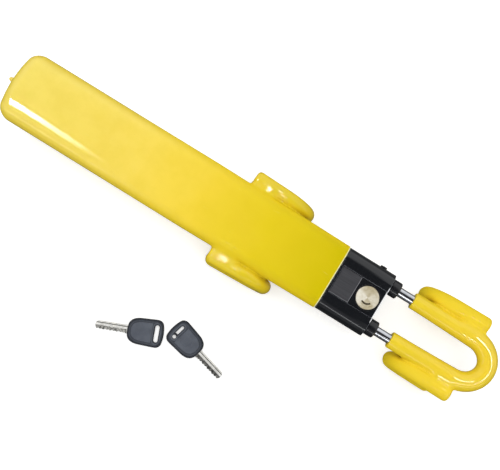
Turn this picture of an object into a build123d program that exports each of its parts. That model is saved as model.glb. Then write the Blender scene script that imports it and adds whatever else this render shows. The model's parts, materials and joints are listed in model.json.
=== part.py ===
from build123d import *

import os
from math import cos, radians, sin

# Twin-bar steering wheel lock, in millimetres.
# +X runs from the handle to the fork, +Y is the lock's left side and +Z is the side with the key cylinder.
# The origin is on the housing's flat underside, straight below the middle of the key cylinder.

# --- driving dimensions: overall layout ---
ROD_Z = 12.25  # height of the plane that both rods lie in
ROD_Y = 22.75  # from the middle line to each rod's axis
ROD_R = 5.0
FLOOR_DROP = 62.0  # from the rod plane down to the lowest point of the four hooks
RUNNING_GAP = 0.06  # radial clearance of sliding and turning fits

# --- handle: steel tube under a dipped skin ---
TAIL_X = -415.5
TAIL_CROWN = 5.0
TAIL_CORNER = 11.0
SKIN_HALF_WIDTH = 37.2
SKIN_HALF_HEIGHT = 14.5
SKIN_ROUND = 12.0
SKIN_END_ROUND = 9.0
SKIN_TAPER_X = -195.0  # from here the skin thins towards the housing
SKIN_END_X = -39.5
SKIN_END_HALF_WIDTH = 35.5
SKIN_END_HALF_HEIGHT = 13.3
TUBE_BACK_X = -401.0
TUBE_HALF_WIDTH = 33.5
TUBE_HALF_HEIGHT = 11.4
TUBE_ROUND = 9.0
TUBE_WALL = 1.6
CAP_THICK = 2.0
CAP_PLUG_LENGTH = 8.0
DRIP_LENGTH = 3.5
DRIP_R = 2.5
RIVET_R = 2.0
RIVET_X = -55.0
RIVET_Y = 10.0
RIVET_DEPTH = 6.4

# --- lock housing ---
HOUSING_BACK_X = -38.5
HOUSING_FRONT_X = 14.5
HOUSING_R = 12.25  # round sides of the housing, on the rods' axes
COVER_WALL = 1.5
CHANNEL_HALF_WIDTH = 15.2
CHANNEL_BACK_X = -36.5
CHANNEL_FLOOR = 10.25  # above the rod plane
CHANNEL_PLATE = 2.0  # thickness of the cover under the channel
BLOCK_BACK_X = -70.0
ROD_BORE_R = 5.6
BUSH_R = 7.0
BUSH_LENGTH = 10.0
COLLAR_R = 8.75
COLLAR_BACK_X = 15.5
COLLAR_FRONT_X = 25.0
COLLAR_EDGE = 0.8
NECK_BACK_X = 6.0  # the collars' necks reach this far into the housing
BLOCK_FIT = 0.2  # all round between the block and the handle tube
LABEL_BACK_X = -36.0
LABEL_FRONT_X = -14.5
LABEL_HALF_WIDTH = 14.5
LABEL_THICK = 1.1
LABEL_EDGE = 0.3
SCREW_R = 1.5
SCREW_HEAD_R = 2.7
SCREW_HEAD_THICK = 1.0
SCREW_TOP = 9.5
SCREW_X = (-30.0, 11.0)
SCREW_Y = 9.0
SIDE_SCREW_R = 3.5
SIDE_SCREW_HEAD = 1.9
SIDE_SCREW_STANDS = 1.5
SIDE_SCREW_TIP_Y = 29.0

# --- cylinder, cam and pawls (heights are measured from the rod plane) ---
SHELL_R = 11.75
SHELL_BOTTOM = -2.0
SHELL_EDGE = 0.5
FACE_TOP = 11.5
PLUG_R = 8.6
PLUG_STEP = -0.5  # the plug is narrower below this height
PLUG_NECK_R = 6.0
PLUG_TAIL_R = 2.0
PLUG_TAIL_BOTTOM = -6.2
DRIVE_SQUARE = 5.0
BEZEL_WIDTH = 1.6
BEZEL_THICK = 0.7
RETAINING_PIN_R = 1.0
RETAINING_PIN_HEIGHT = 7.0
RETAINING_PIN_Y = (9.5, 29.5)
DISC_COUNT = 5
DISC_PITCH = 1.7
DISC_THICK = 1.4
DISC_R = 7.4
DISC_BOTTOM = 1.0
DISC_GAP = 0.1
CAM_R = 11.2
CAM_TOP = -2.5
CAM_BOTTOM = -5.0
CLIP_R = 2.8
CLIP_BOTTOM = -6.0
CLIP_THICK = 0.6
PIN_R = 1.2
PIN_REACH = 5.0  # follower pin's distance from the cylinder axis, unlocked
PAWL_TRAVEL = 3.2  # over a quarter turn of the key
PAWL_INNER_Y = 3.0
PAWL_OUTER_Y = 17.2
PAWL_TOP = -5.5
PAWL_BOTTOM = -9.4
PAWL_HALF_LENGTH = 4.0
NOSE_HALF_LENGTH = 1.8
NOSE_TOP = 3.0
NOSE_INNER_Y = 12.2
NOSE_SLOT_Y = (11.0, 21.0)
PAWL_PLATE_TOP = -9.5
PAWL_PLATE_HALF_X = 9.3
PAWL_PLATE_HALF_Y = 21.5
PLATE_SCREW_R = 1.0
PLATE_SCREW_TOP = -6.5
PLATE_SCREW_X = 7.0
PLATE_SCREW_Y = 9.5
CUT_GAP = 0.1  # clearance of sliding parts in milled pockets
SPRING_HEIGHT = -7.6
SPRING_POST_R = 1.4
SPRING_POST_TOP = -6.9
SPRING_START_Y = 1.7
SPRING_POCKET_R = 1.5
SPRING_POCKET_DEPTH = 7.5
SPRING_R = 1.0
SPRING_WIRE_R = 0.25
SPRING_LENGTH = 8.6
SPRING_PITCH = 1.25

# --- fork ---
FORK_STRAIGHT_X = 114.0  # where the legs turn into the bend
FORK_BEND_DEPTH = 26.0
FORK_COAT_X = 41.5
LEG_COAT_R = 8.7
BEND_COAT_R = 10.3
ROD_BACK_X = -267.0
NOTCH_PITCH = 7.5
NOTCH_DEPTH = 3.0
NOTCH_LENGTH = 4.2
NOTCHES_AHEAD = 2  # notches in front of the pawls when the fork is in its rest place
NOTCHES_BEHIND = 24
CROSSHEAD_X = -266.0
CROSSHEAD_LENGTH = 10.0
CROSSHEAD_HALF_WIDTH = 30.6
CROSSHEAD_HALF_HEIGHT = 8.5
CROSSHEAD_ROUND = 6.0
CROSS_PIN_R = 1.5
GLIDE_THICK = 1.0
BUMPER_LENGTH = 5.5
BUMPER_HALF_WIDTH = 15.0
BUMPER_HALF_HEIGHT = 7.0
BUMPER_ROUND = 3.0

# --- hooks: rod bent to a J in an upright plane, under a dipped skin ---
HOOK_R = 5.0
FORK_HOOK = {"y": 39.9, "root": 118.0, "bend": 83.5, "radius": 26.75, "tip": 112.0, "coat": 8.5}
BODY_HOOK = {"y": 45.3, "root": -152.0, "bend": -119.5, "radius": 27.0, "tip": -157.0, "coat": 8.0}
HOOK_SKIN_END = 3.5  # skin beyond the steel's ends
FORK_LUG = (97.0, 117.0)
BODY_LUG = (-151.0, -134.0)
LUG_HALF_HEIGHT = 4.0
WEB_HALF_HEIGHT = 7.0
WEB_OVERHANG = 2.0  # skin over the two ends of a lug
WELD_OVERLAP = 1.0

# --- keys, lying on the floor ---
KEY_HEAD_LENGTH = 39.0
KEY_HEAD_WIDE = 30.5
KEY_HEAD_NARROW = 24.0
KEY_HEAD_THICK = 7.0
KEY_HEAD_CROWN = 4.0  # how far the ring end stands out in the middle
KEY_HEAD_ROUND = 5.5
KEY_HEAD_EDGE = 1.6
RING_SLOT_LENGTH = 19.0
RING_SLOT_WIDTH = 4.4
RING_SLOT_INSET = 7.5
KEY_BLADE_LENGTH = 33.5
KEY_BLADE_GRIP = 9.0  # length of blade moulded into the head
KEYWAY_R = 6.2
KEYWAY_SPAN = 92.0
KEYWAY_MIDDLE = -80.0  # direction of the slot's middle from the plug's axis
KEYWAY_BOTTOM = 0.9
KEY_BLADE_THICK = 1.6
BITTING_DEPTHS = (1.2, 0.5, 0.9, 0.4, 1.1)
BITTING_START = 3.0
BITTING_PITCH = 4.2
BITTING_WIDTH = 2.4
KEY_1 = {"x": -171.4, "y": -147.6, "turn": 22.3}
KEY_2 = {"x": -130.8, "y": -132.6, "turn": 165.0}

SIDES = {"left": 1, "right": -1}
FROM_FACE = (Align.CENTER, Align.CENTER, Align.MIN)
pieces = {}


def rounded_bar(half_width, half_height, corner, start, end):
    """A bar along X whose section is a rounded rectangle centred on the rod plane."""
    with BuildPart() as bar:
        with BuildSketch(Plane.YZ.offset(start)):
            with Locations((0, ROD_Z)):
                RectangleRounded(2 * half_width, 2 * half_height, corner)
        extrude(amount=end - start)
    return bar.part


def slot_bar(radius, start, end):
    """A bar along X whose section is a slot with its round ends on the rods' axes."""
    with BuildPart() as bar:
        with BuildSketch(Plane.YZ.offset(start)):
            with Locations((0, ROD_Z)):
                SlotOverall(2 * (ROD_Y + radius), 2 * radius)
        extrude(amount=end - start)
    return bar.part


def disc_at(radius, x, y, bottom, top):
    """An upright cylinder, its ends measured from the rod plane."""
    with BuildPart() as disc:
        with BuildSketch(Plane.XY.offset(ROD_Z + bottom)):
            with Locations((x, y)):
                Circle(radius)
        extrude(amount=top - bottom)
    return disc.part


def block_at(x, y, bottom, top):
    """An upright box between pairs of x and y limits, its ends measured from the rod plane."""
    with BuildPart() as block:
        with BuildSketch(Plane.XY.offset(ROD_Z + bottom)):
            with Locations(((x[0] + x[1]) / 2, (y[0] + y[1]) / 2)):
                Rectangle(x[1] - x[0], y[1] - y[0])
        extrude(amount=top - bottom)
    return block.part


def across(side, inner, outer):
    """Two distances from the middle line, as ordered y limits on the given side."""
    return tuple(sorted((side * inner, side * outer)))


def rods_at(radius, start, end):
    """Two parallel cylinders on the rods' axes."""
    with BuildPart() as rods:
        with BuildSketch(Plane.YZ.offset(start)):
            with Locations((ROD_Y, ROD_Z), (-ROD_Y, ROD_Z)):
                Circle(radius)
        extrude(amount=end - start)
    return rods.part


def keyway():
    """The crescent slot for the key, open at the top of the plug."""
    with BuildPart() as slot:
        with BuildSketch(Plane.XY.offset(ROD_Z + KEYWAY_BOTTOM)):
            with BuildLine():
                CenterArc((0, 0), KEYWAY_R, KEYWAY_MIDDLE - KEYWAY_SPAN / 2, KEYWAY_SPAN)
            trace(line_width=KEY_BLADE_THICK + 2 * CUT_GAP)
        extrude(amount=FACE_TOP - KEYWAY_BOTTOM)
    return slot.part


# ---------------------------------------------------------------- construction forms

tube_form = rounded_bar(TUBE_HALF_WIDTH, TUBE_HALF_HEIGHT, TUBE_ROUND, TUBE_BACK_X, SKIN_END_X)
tube_hollow = rounded_bar(
    TUBE_HALF_WIDTH - TUBE_WALL,
    TUBE_HALF_HEIGHT - TUBE_WALL,
    TUBE_ROUND - TUBE_WALL,
    TUBE_BACK_X,
    SKIN_END_X,
)
block_channel = block_at(
    (HOUSING_BACK_X, HOUSING_FRONT_X),
    (-CHANNEL_HALF_WIDTH - COVER_WALL, CHANNEL_HALF_WIDTH + COVER_WALL),
    CHANNEL_FLOOR - CHANNEL_PLATE,
    HOUSING_R,
)

with BuildPart() as block_form:
    add(slot_bar(HOUSING_R - COVER_WALL, HOUSING_BACK_X, HOUSING_FRONT_X - COVER_WALL))
    add(block_channel, mode=Mode.SUBTRACT)

with BuildPart() as skin_form:
    with BuildSketch(Plane.YZ.offset(TAIL_X)):
        with Locations((0, ROD_Z)):
            RectangleRounded(2 * SKIN_HALF_WIDTH, 2 * SKIN_HALF_HEIGHT, SKIN_ROUND)
    extrude(amount=SKIN_TAPER_X - TAIL_X)
    with BuildSketch(Plane.YZ.offset(SKIN_TAPER_X)):
        with Locations((0, ROD_Z)):
            RectangleRounded(2 * SKIN_HALF_WIDTH, 2 * SKIN_HALF_HEIGHT, SKIN_ROUND)
    with BuildSketch(Plane.YZ.offset(SKIN_END_X)):
        with Locations((0, ROD_Z)):
            RectangleRounded(2 * SKIN_END_HALF_WIDTH, 2 * SKIN_END_HALF_HEIGHT, SKIN_ROUND)
    loft()
    # the tail is crowned in plan, with round corners
    with BuildSketch():
        with BuildLine():
            crown = ThreePointArc(
                (TAIL_X + TAIL_CROWN, SKIN_HALF_WIDTH), (TAIL_X, 0), (TAIL_X + TAIL_CROWN, -SKIN_HALF_WIDTH)
            )
            Polyline(crown @ 1, (SKIN_END_X, -SKIN_HALF_WIDTH), (SKIN_END_X, SKIN_HALF_WIDTH), crown @ 0)
        plan = make_face()
        fillet(plan.vertices().group_by(Axis.X)[0], radius=TAIL_CORNER)
    extrude(amount=2 * ROD_Z + SKIN_HALF_HEIGHT, both=True, mode=Mode.INTERSECT)
    # and round from top to bottom
    with BuildSketch(Plane.XZ):
        with Locations(((TAIL_X + SKIN_END_X) / 2, ROD_Z)):
            side_view = Rectangle(SKIN_END_X - TAIL_X, 2 * SKIN_HALF_HEIGHT)
        fillet(side_view.vertices().group_by(Axis.X)[0], radius=SKIN_END_ROUND)
    extrude(amount=2 * SKIN_HALF_WIDTH, both=True, mode=Mode.INTERSECT)


def fork_line(start):
    """Centre line of the fork: two straight legs joined by a half ellipse."""
    with BuildLine(Plane.XY.offset(ROD_Z)) as line:
        Line((start, ROD_Y), (FORK_STRAIGHT_X, ROD_Y))
        EllipticalCenterArc((FORK_STRAIGHT_X, 0), FORK_BEND_DEPTH, ROD_Y, 90, arc_size=-180)
        Line((FORK_STRAIGHT_X, -ROD_Y), (start, -ROD_Y))
    return line


def hook_sweep(hook, side, radius, beyond):
    """A round bar bent to a J, running beyond the steel's ends by the given length."""
    outward = 1 if hook["root"] > hook["bend"] else -1
    low = ROD_Z - 2 * hook["radius"]
    with BuildPart() as bar:
        with BuildLine(Plane.XZ.offset(-side * hook["y"])) as line:
            Line((hook["root"] + outward * beyond, ROD_Z), (hook["bend"], ROD_Z))
            ThreePointArc(
                (hook["bend"], ROD_Z),
                (hook["bend"] - outward * hook["radius"], ROD_Z - hook["radius"]),
                (hook["bend"], low),
            )
            Line((hook["bend"], low), (hook["tip"] + outward * beyond, low))
        with BuildSketch(Plane.YZ.offset(hook["root"] + outward * beyond)):
            with Locations((side * hook["y"], ROD_Z)):
                Circle(radius)
        sweep(path=line.wire())
        if radius > HOOK_R:
            fillet(bar.faces().filter_by(Axis.X).edges(), radius=radius - HOOK_R + 1)
    return bar


# ---------------------------------------------------------------- fork

cross_pin_x = CROSSHEAD_X + CROSSHEAD_LENGTH / 2
crosshead_end_x = CROSSHEAD_X + CROSSHEAD_LENGTH
crosshead_form = rounded_bar(
    CROSSHEAD_HALF_WIDTH, CROSSHEAD_HALF_HEIGHT, CROSSHEAD_ROUND, CROSSHEAD_X, crosshead_end_x
)

with BuildPart() as fork_rod:
    with BuildSketch(Plane.YZ.offset(ROD_BACK_X)):
        with Locations((ROD_Y, ROD_Z)):
            Circle(ROD_R)
    sweep(path=fork_line(ROD_BACK_X).wire())
    # ratchet notches face each other on the inner sides of the rods
    notch_places = [
        (-step * NOTCH_PITCH, side * (ROD_Y - ROD_R), ROD_Z)
        for step in range(-NOTCHES_AHEAD, NOTCHES_BEHIND + 1)
        for side in SIDES.values()
    ]
    with Locations(*notch_places):
        Box(NOTCH_LENGTH, 2 * NOTCH_DEPTH, 2 * ROD_R, mode=Mode.SUBTRACT)
    # cross holes for the pins that hold the crosshead
    for side in SIDES.values():
        add(disc_at(CROSS_PIN_R, cross_pin_x, side * ROD_Y, -ROD_R, ROD_R), mode=Mode.SUBTRACT)
pieces["fork_rod"] = fork_rod

with BuildPart() as fork_skin_form:
    for side in SIDES.values():
        for start, radius in ((FORK_COAT_X, LEG_COAT_R), (FORK_STRAIGHT_X, BEND_COAT_R)):
            with BuildSketch(Plane.YZ.offset(start)):
                with Locations((side * ROD_Y, ROD_Z)):
                    Circle(radius)
        loft()
    with BuildSketch(Plane.YZ.offset(FORK_STRAIGHT_X)):
        with Locations((ROD_Y, ROD_Z)):
            Circle(BEND_COAT_R)
    with BuildLine(Plane.XY.offset(ROD_Z)) as bend_line:
        EllipticalCenterArc((FORK_STRAIGHT_X, 0), FORK_BEND_DEPTH, ROD_Y, 90, arc_size=-180)
    sweep(path=bend_line.wire())


def weld_lug(hook, lug, side, inner):
    """The flat steel lug between a hook's upper arm and the part that carries it."""
    return block_at(lug, across(side, inner, hook["y"]), -LUG_HALF_HEIGHT, LUG_HALF_HEIGHT)


def hook_steel(hook, lug, side, inner, carrier):
    """A J hook with its lug, cut to the surface of the part it is welded to."""
    bent_bar = hook_sweep(hook, side, HOOK_R, 0).part
    plate = weld_lug(hook, lug, side, inner)
    with BuildPart() as steel:
        add(bent_bar)
        add(plate)
        add(carrier, mode=Mode.SUBTRACT)
    return steel


def hook_jacket(hook, lug, side, inner, steel, carrier_skin):
    """The skin of a hook, with the web that runs over the lug to the carrier's own skin."""
    coat = hook_sweep(hook, side, hook["coat"], HOOK_SKIN_END).part
    web_ends = (lug[0] - WEB_OVERHANG, lug[1] + WEB_OVERHANG)
    web = block_at(web_ends, across(side, inner, hook["y"]), -WEB_HALF_HEIGHT, WEB_HALF_HEIGHT)
    with BuildPart() as jacket:
        add(coat)
        add(web)
        add(carrier_skin, mode=Mode.SUBTRACT)
        add(steel.part, mode=Mode.SUBTRACT)
    return jacket


for name, side in SIDES.items():
    steel = hook_steel(FORK_HOOK, FORK_LUG, side, ROD_Y, fork_rod.part)
    pieces["fork_hook_" + name] = steel
    pieces["fork_hook_jacket_" + name] = hook_jacket(
        FORK_HOOK, FORK_LUG, side, ROD_Y, steel, fork_skin_form.part
    )

with BuildPart() as fork_jacket:
    add(fork_skin_form.part)
    add(fork_rod.part, mode=Mode.SUBTRACT)
    for name in SIDES:
        add(pieces["fork_hook_" + name].part, mode=Mode.SUBTRACT)
pieces["fork_jacket"] = fork_jacket

with BuildPart() as crosshead_pins:
    for side in SIDES.values():
        add(
            disc_at(
                CROSS_PIN_R, cross_pin_x, side * ROD_Y, -CROSSHEAD_HALF_HEIGHT, CROSSHEAD_HALF_HEIGHT
            )
        )
pieces["crosshead_pins"] = crosshead_pins

with BuildPart() as crosshead:
    add(crosshead_form)
    add(rods_at(ROD_R, CROSSHEAD_X, crosshead_end_x), mode=Mode.SUBTRACT)
    add(crosshead_pins.part, mode=Mode.SUBTRACT)
pieces["crosshead"] = crosshead

with BuildPart() as crosshead_glide:
    add(
        rounded_bar(
            CROSSHEAD_HALF_WIDTH + GLIDE_THICK,
            CROSSHEAD_HALF_HEIGHT + GLIDE_THICK,
            CROSSHEAD_ROUND + GLIDE_THICK,
            CROSSHEAD_X + GLIDE_THICK,
            crosshead_end_x - GLIDE_THICK,
        )
    )
    add(crosshead_form, mode=Mode.SUBTRACT)
pieces["crosshead_glide"] = crosshead_glide

with BuildPart() as stop_bumper:
    add(
        block_at(
            (crosshead_end_x, crosshead_end_x + BUMPER_LENGTH),
            (-BUMPER_HALF_WIDTH, BUMPER_HALF_WIDTH),
            -BUMPER_HALF_HEIGHT,
            BUMPER_HALF_HEIGHT,
        )
    )
    fillet(stop_bumper.edges().filter_by(Axis.X), radius=BUMPER_ROUND)
pieces["stop_bumper"] = stop_bumper

# ---------------------------------------------------------------- handle

with BuildPart() as tube_rivets:
    for side in SIDES.values():
        for end in (-TUBE_HALF_HEIGHT, TUBE_HALF_HEIGHT - RIVET_DEPTH):
            add(disc_at(RIVET_R, RIVET_X, side * RIVET_Y, end, end + RIVET_DEPTH))
pieces["tube_rivets"] = tube_rivets

with BuildPart() as handle_tube:
    add(tube_form)
    add(tube_hollow, mode=Mode.SUBTRACT)
    add(tube_rivets.part, mode=Mode.SUBTRACT)
pieces["handle_tube"] = handle_tube

with BuildPart() as tail_cap:
    add(
        rounded_bar(
            TUBE_HALF_WIDTH, TUBE_HALF_HEIGHT, TUBE_ROUND, TUBE_BACK_X - CAP_THICK, TUBE_BACK_X
        )
    )
    add(
        rounded_bar(
            TUBE_HALF_WIDTH - TUBE_WALL,
            TUBE_HALF_HEIGHT - TUBE_WALL,
            TUBE_ROUND - TUBE_WALL,
            TUBE_BACK_X,
            TUBE_BACK_X + CAP_PLUG_LENGTH,
        )
    )
pieces["tail_cap"] = tail_cap

for name, side in SIDES.items():
    inner = TUBE_HALF_WIDTH - WELD_OVERLAP
    steel = hook_steel(BODY_HOOK, BODY_LUG, side, inner, tube_form)
    pieces["body_hook_" + name] = steel
    pieces["body_hook_jacket_" + name] = hook_jacket(
        BODY_HOOK, BODY_LUG, side, inner, steel, skin_form.part
    )

with BuildPart() as handle_jacket:
    add(skin_form.part)
    # the drip left at the tail when the skin set
    with BuildSketch(Plane.XY.offset(ROD_Z)):
        with Locations((TAIL_X, 0)):
            Ellipse(DRIP_LENGTH, DRIP_R)
        with Locations((TAIL_X, DRIP_R)):
            Rectangle(3 * DRIP_LENGTH, 2 * DRIP_R, mode=Mode.SUBTRACT)
    revolve(axis=Axis((TAIL_X, 0, ROD_Z), (1, 0, 0)))
    add(tube_form, mode=Mode.SUBTRACT)
    add(tail_cap.part, mode=Mode.SUBTRACT)
    for name in SIDES:
        add(pieces["body_hook_" + name].part, mode=Mode.SUBTRACT)
pieces["handle_jacket"] = handle_jacket

# ---------------------------------------------------------------- housing

with BuildPart() as cover_screws:
    head_top = -HOUSING_R + SCREW_HEAD_THICK
    for x in SCREW_X:
        for y in (-SCREW_Y, SCREW_Y):
            add(disc_at(SCREW_R, x, y, head_top, SCREW_TOP))
            add(disc_at(SCREW_HEAD_R, x, y, -HOUSING_R, head_top))
pieces["cover_screws"] = cover_screws

with BuildPart() as pawl_plate_screws:
    for x in (-PLATE_SCREW_X, PLATE_SCREW_X):
        for y in (-PLATE_SCREW_Y, PLATE_SCREW_Y):
            add(disc_at(PLATE_SCREW_R, x, y, -HOUSING_R + COVER_WALL, PLATE_SCREW_TOP))
pieces["pawl_plate_screws"] = pawl_plate_screws

with BuildPart() as pawl_cover_plate:
    add(
        block_at(
            (-PAWL_PLATE_HALF_X, PAWL_PLATE_HALF_X),
            (-PAWL_PLATE_HALF_Y, PAWL_PLATE_HALF_Y),
            -HOUSING_R + COVER_WALL,
            PAWL_PLATE_TOP,
        )
    )
    # the post that the pawl springs push against
    add(disc_at(SPRING_POST_R, 0, 0, PAWL_PLATE_TOP, SPRING_POST_TOP))
    add(pawl_plate_screws.part, mode=Mode.SUBTRACT)
pieces["pawl_cover_plate"] = pawl_cover_plate

side_screw_face_y = ROD_Y + HOUSING_R + SIDE_SCREW_STANDS
with BuildPart(Plane.XZ.offset(-side_screw_face_y)) as side_screw:
    with Locations((0, ROD_Z)):
        Cylinder(SIDE_SCREW_R, SIDE_SCREW_HEAD, align=FROM_FACE)
        Cylinder(SCREW_R, side_screw_face_y - SIDE_SCREW_TIP_Y, align=FROM_FACE)
pieces["side_screw"] = side_screw

with BuildPart(Plane.XZ.offset(-RETAINING_PIN_Y[1])) as cylinder_retaining_pin:
    with Locations((0, ROD_Z + RETAINING_PIN_HEIGHT)):
        Cylinder(RETAINING_PIN_R, RETAINING_PIN_Y[1] - RETAINING_PIN_Y[0], align=FROM_FACE)
pieces["cylinder_retaining_pin"] = cylinder_retaining_pin

pawl_channel_x = PAWL_HALF_LENGTH + CUT_GAP
pawl_channel_y = PAWL_OUTER_Y + PAWL_TRAVEL + 4 * CUT_GAP
pawl_channel = block_at(
    (-pawl_channel_x, pawl_channel_x),
    (-pawl_channel_y, pawl_channel_y),
    PAWL_PLATE_TOP,
    PAWL_TOP + CUT_GAP,
)
collar_necks = rods_at(BUSH_R, NECK_BACK_X, COLLAR_BACK_X)
rear_bushes = rods_at(BUSH_R, BLOCK_BACK_X, BLOCK_BACK_X + BUSH_LENGTH)

with BuildPart() as lock_block:
    add(block_form.part)
    add(
        rounded_bar(
            TUBE_HALF_WIDTH - TUBE_WALL - BLOCK_FIT,
            TUBE_HALF_HEIGHT - TUBE_WALL - BLOCK_FIT,
            TUBE_ROUND - TUBE_WALL - BLOCK_FIT,
            BLOCK_BACK_X,
            HOUSING_BACK_X,
        )
    )
    add(rods_at(ROD_BORE_R, BLOCK_BACK_X, HOUSING_FRONT_X), mode=Mode.SUBTRACT)
    add(collar_necks, mode=Mode.SUBTRACT)
    add(rear_bushes, mode=Mode.SUBTRACT)
    add(disc_at(SHELL_R, 0, 0, SHELL_BOTTOM, HOUSING_R), mode=Mode.SUBTRACT)
    add(disc_at(CAM_R + 4 * CUT_GAP, 0, 0, PAWL_TOP + CUT_GAP, SHELL_BOTTOM), mode=Mode.SUBTRACT)
    add(pawl_channel, mode=Mode.SUBTRACT)
    nose_slot_x = NOSE_HALF_LENGTH + 2 * CUT_GAP
    for side in SIDES.values():
        add(
            block_at(
                (-nose_slot_x, nose_slot_x),
                across(side, *NOSE_SLOT_Y),
                PAWL_TOP,
                NOSE_TOP + 4 * CUT_GAP,
            ),
            mode=Mode.SUBTRACT,
        )
    for fitted in (pawl_cover_plate, pawl_plate_screws, cover_screws, side_screw, cylinder_retaining_pin):
        add(fitted.part, mode=Mode.SUBTRACT)
    add(tube_rivets.part, mode=Mode.SUBTRACT)
pieces["lock_block"] = lock_block

housing_shell = slot_bar(HOUSING_R, HOUSING_BACK_X, HOUSING_FRONT_X)
cover_bores = rods_at(BUSH_R, HOUSING_FRONT_X - COVER_WALL, HOUSING_FRONT_X)

with BuildPart() as housing_top_cover:
    add(housing_shell)
    split(bisect_by=Plane.XY.offset(ROD_Z), keep=Keep.TOP)
    add(block_form.part, mode=Mode.SUBTRACT)
    add(
        block_at(
            (CHANNEL_BACK_X, HOUSING_FRONT_X),
            (-CHANNEL_HALF_WIDTH, CHANNEL_HALF_WIDTH),
            CHANNEL_FLOOR,
            HOUSING_R,
        ),
        mode=Mode.SUBTRACT,
    )
    add(disc_at(SHELL_R, 0, 0, 0, HOUSING_R), mode=Mode.SUBTRACT)
    add(cover_bores, mode=Mode.SUBTRACT)
    add(cover_screws.part, mode=Mode.SUBTRACT)
    add(side_screw.part, mode=Mode.SUBTRACT)
pieces["housing_top_cover"] = housing_top_cover

with BuildPart() as housing_bottom_cover:
    add(housing_shell)
    split(bisect_by=Plane.XY.offset(ROD_Z), keep=Keep.BOTTOM)
    add(block_form.part, mode=Mode.SUBTRACT)
    add(cover_bores, mode=Mode.SUBTRACT)
    add(cover_screws.part, mode=Mode.SUBTRACT)
    add(side_screw.part, mode=Mode.SUBTRACT)
pieces["housing_bottom_cover"] = housing_bottom_cover

with BuildPart() as label_plate:
    add(
        block_at(
            (LABEL_BACK_X, LABEL_FRONT_X),
            (-LABEL_HALF_WIDTH, LABEL_HALF_WIDTH),
            CHANNEL_FLOOR,
            CHANNEL_FLOOR + LABEL_THICK,
        )
    )
    chamfer(label_plate.faces().sort_by(Axis.Z)[-1].edges(), length=LABEL_EDGE)
pieces["label_plate"] = label_plate

for name, side in SIDES.items():
    with BuildPart() as rod_collar:
        with BuildSketch(Plane.YZ.offset(NECK_BACK_X)):
            with Locations((side * ROD_Y, ROD_Z)):
                Circle(BUSH_R)
        extrude(amount=COLLAR_BACK_X - NECK_BACK_X)
        with BuildSketch(Plane.YZ.offset(COLLAR_BACK_X)):
            with Locations((side * ROD_Y, ROD_Z)):
                Circle(COLLAR_R)
        extrude(amount=COLLAR_FRONT_X - COLLAR_BACK_X)
        chamfer(rod_collar.faces().sort_by(Axis.X)[-1].edges(), length=COLLAR_EDGE)
        add(
            rods_at(ROD_R + RUNNING_GAP, NECK_BACK_X, COLLAR_FRONT_X),
            mode=Mode.SUBTRACT,
        )
    pieces["rod_collar_" + name] = rod_collar
    with BuildPart() as rod_bush:
        with BuildSketch(Plane.YZ.offset(BLOCK_BACK_X)):
            with Locations((side * ROD_Y, ROD_Z)):
                Circle(BUSH_R)
                Circle(ROD_R + RUNNING_GAP, mode=Mode.SUBTRACT)
        extrude(amount=BUSH_LENGTH)
    pieces["rod_bush_" + name] = rod_bush

# ---------------------------------------------------------------- key cylinder

with BuildPart() as cylinder_shell:
    add(disc_at(SHELL_R, 0, 0, SHELL_BOTTOM, FACE_TOP))
    chamfer(cylinder_shell.faces().sort_by(Axis.Z)[-1].edges(), length=SHELL_EDGE)
    seat = PLUG_STEP - CUT_GAP
    add(disc_at(PLUG_R + RUNNING_GAP, 0, 0, seat, FACE_TOP), mode=Mode.SUBTRACT)
    add(disc_at(PLUG_NECK_R + RUNNING_GAP, 0, 0, SHELL_BOTTOM, seat), mode=Mode.SUBTRACT)
    add(cylinder_retaining_pin.part, mode=Mode.SUBTRACT)
pieces["cylinder_shell"] = cylinder_shell

with BuildPart() as cylinder_bezel:
    with BuildSketch(Plane.XY.offset(ROD_Z + CHANNEL_FLOOR)):
        Circle(SHELL_R + BEZEL_WIDTH)
        Circle(SHELL_R, mode=Mode.SUBTRACT)
    extrude(amount=BEZEL_THICK)
pieces["cylinder_bezel"] = cylinder_bezel

key_slot = keyway()
pocket_top = DISC_BOTTOM + DISC_COUNT * DISC_PITCH + DISC_GAP
disc_pocket = disc_at(DISC_R + DISC_GAP, 0, 0, DISC_BOTTOM - DISC_GAP, pocket_top)

with BuildPart() as cylinder_plug:
    add(disc_at(PLUG_R, 0, 0, PLUG_STEP, FACE_TOP))
    add(disc_at(PLUG_NECK_R, 0, 0, CAM_TOP, PLUG_STEP))
    with BuildSketch(Plane.XY.offset(ROD_Z + CAM_BOTTOM)):
        Rectangle(DRIVE_SQUARE, DRIVE_SQUARE)
    extrude(amount=CAM_TOP - CAM_BOTTOM)
    add(disc_at(PLUG_TAIL_R, 0, 0, PLUG_TAIL_BOTTOM, CAM_BOTTOM))
    add(disc_pocket, mode=Mode.SUBTRACT)
    add(key_slot, mode=Mode.SUBTRACT)
pieces["cylinder_plug"] = cylinder_plug

with BuildPart() as lock_discs:
    for level in range(DISC_COUNT):
        bottom = DISC_BOTTOM + DISC_PITCH * level
        add(disc_at(DISC_R, 0, 0, bottom, bottom + DISC_THICK))
    add(key_slot, mode=Mode.SUBTRACT)
pieces["lock_discs"] = lock_discs


def spiral_point(turn, start):
    """A point on a cam slot after the given turn of the key, for a slot that starts at an angle."""
    reach = PIN_REACH + PAWL_TRAVEL * turn / 90
    angle = radians(start - turn)
    return (reach * cos(angle), reach * sin(angle))


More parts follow.
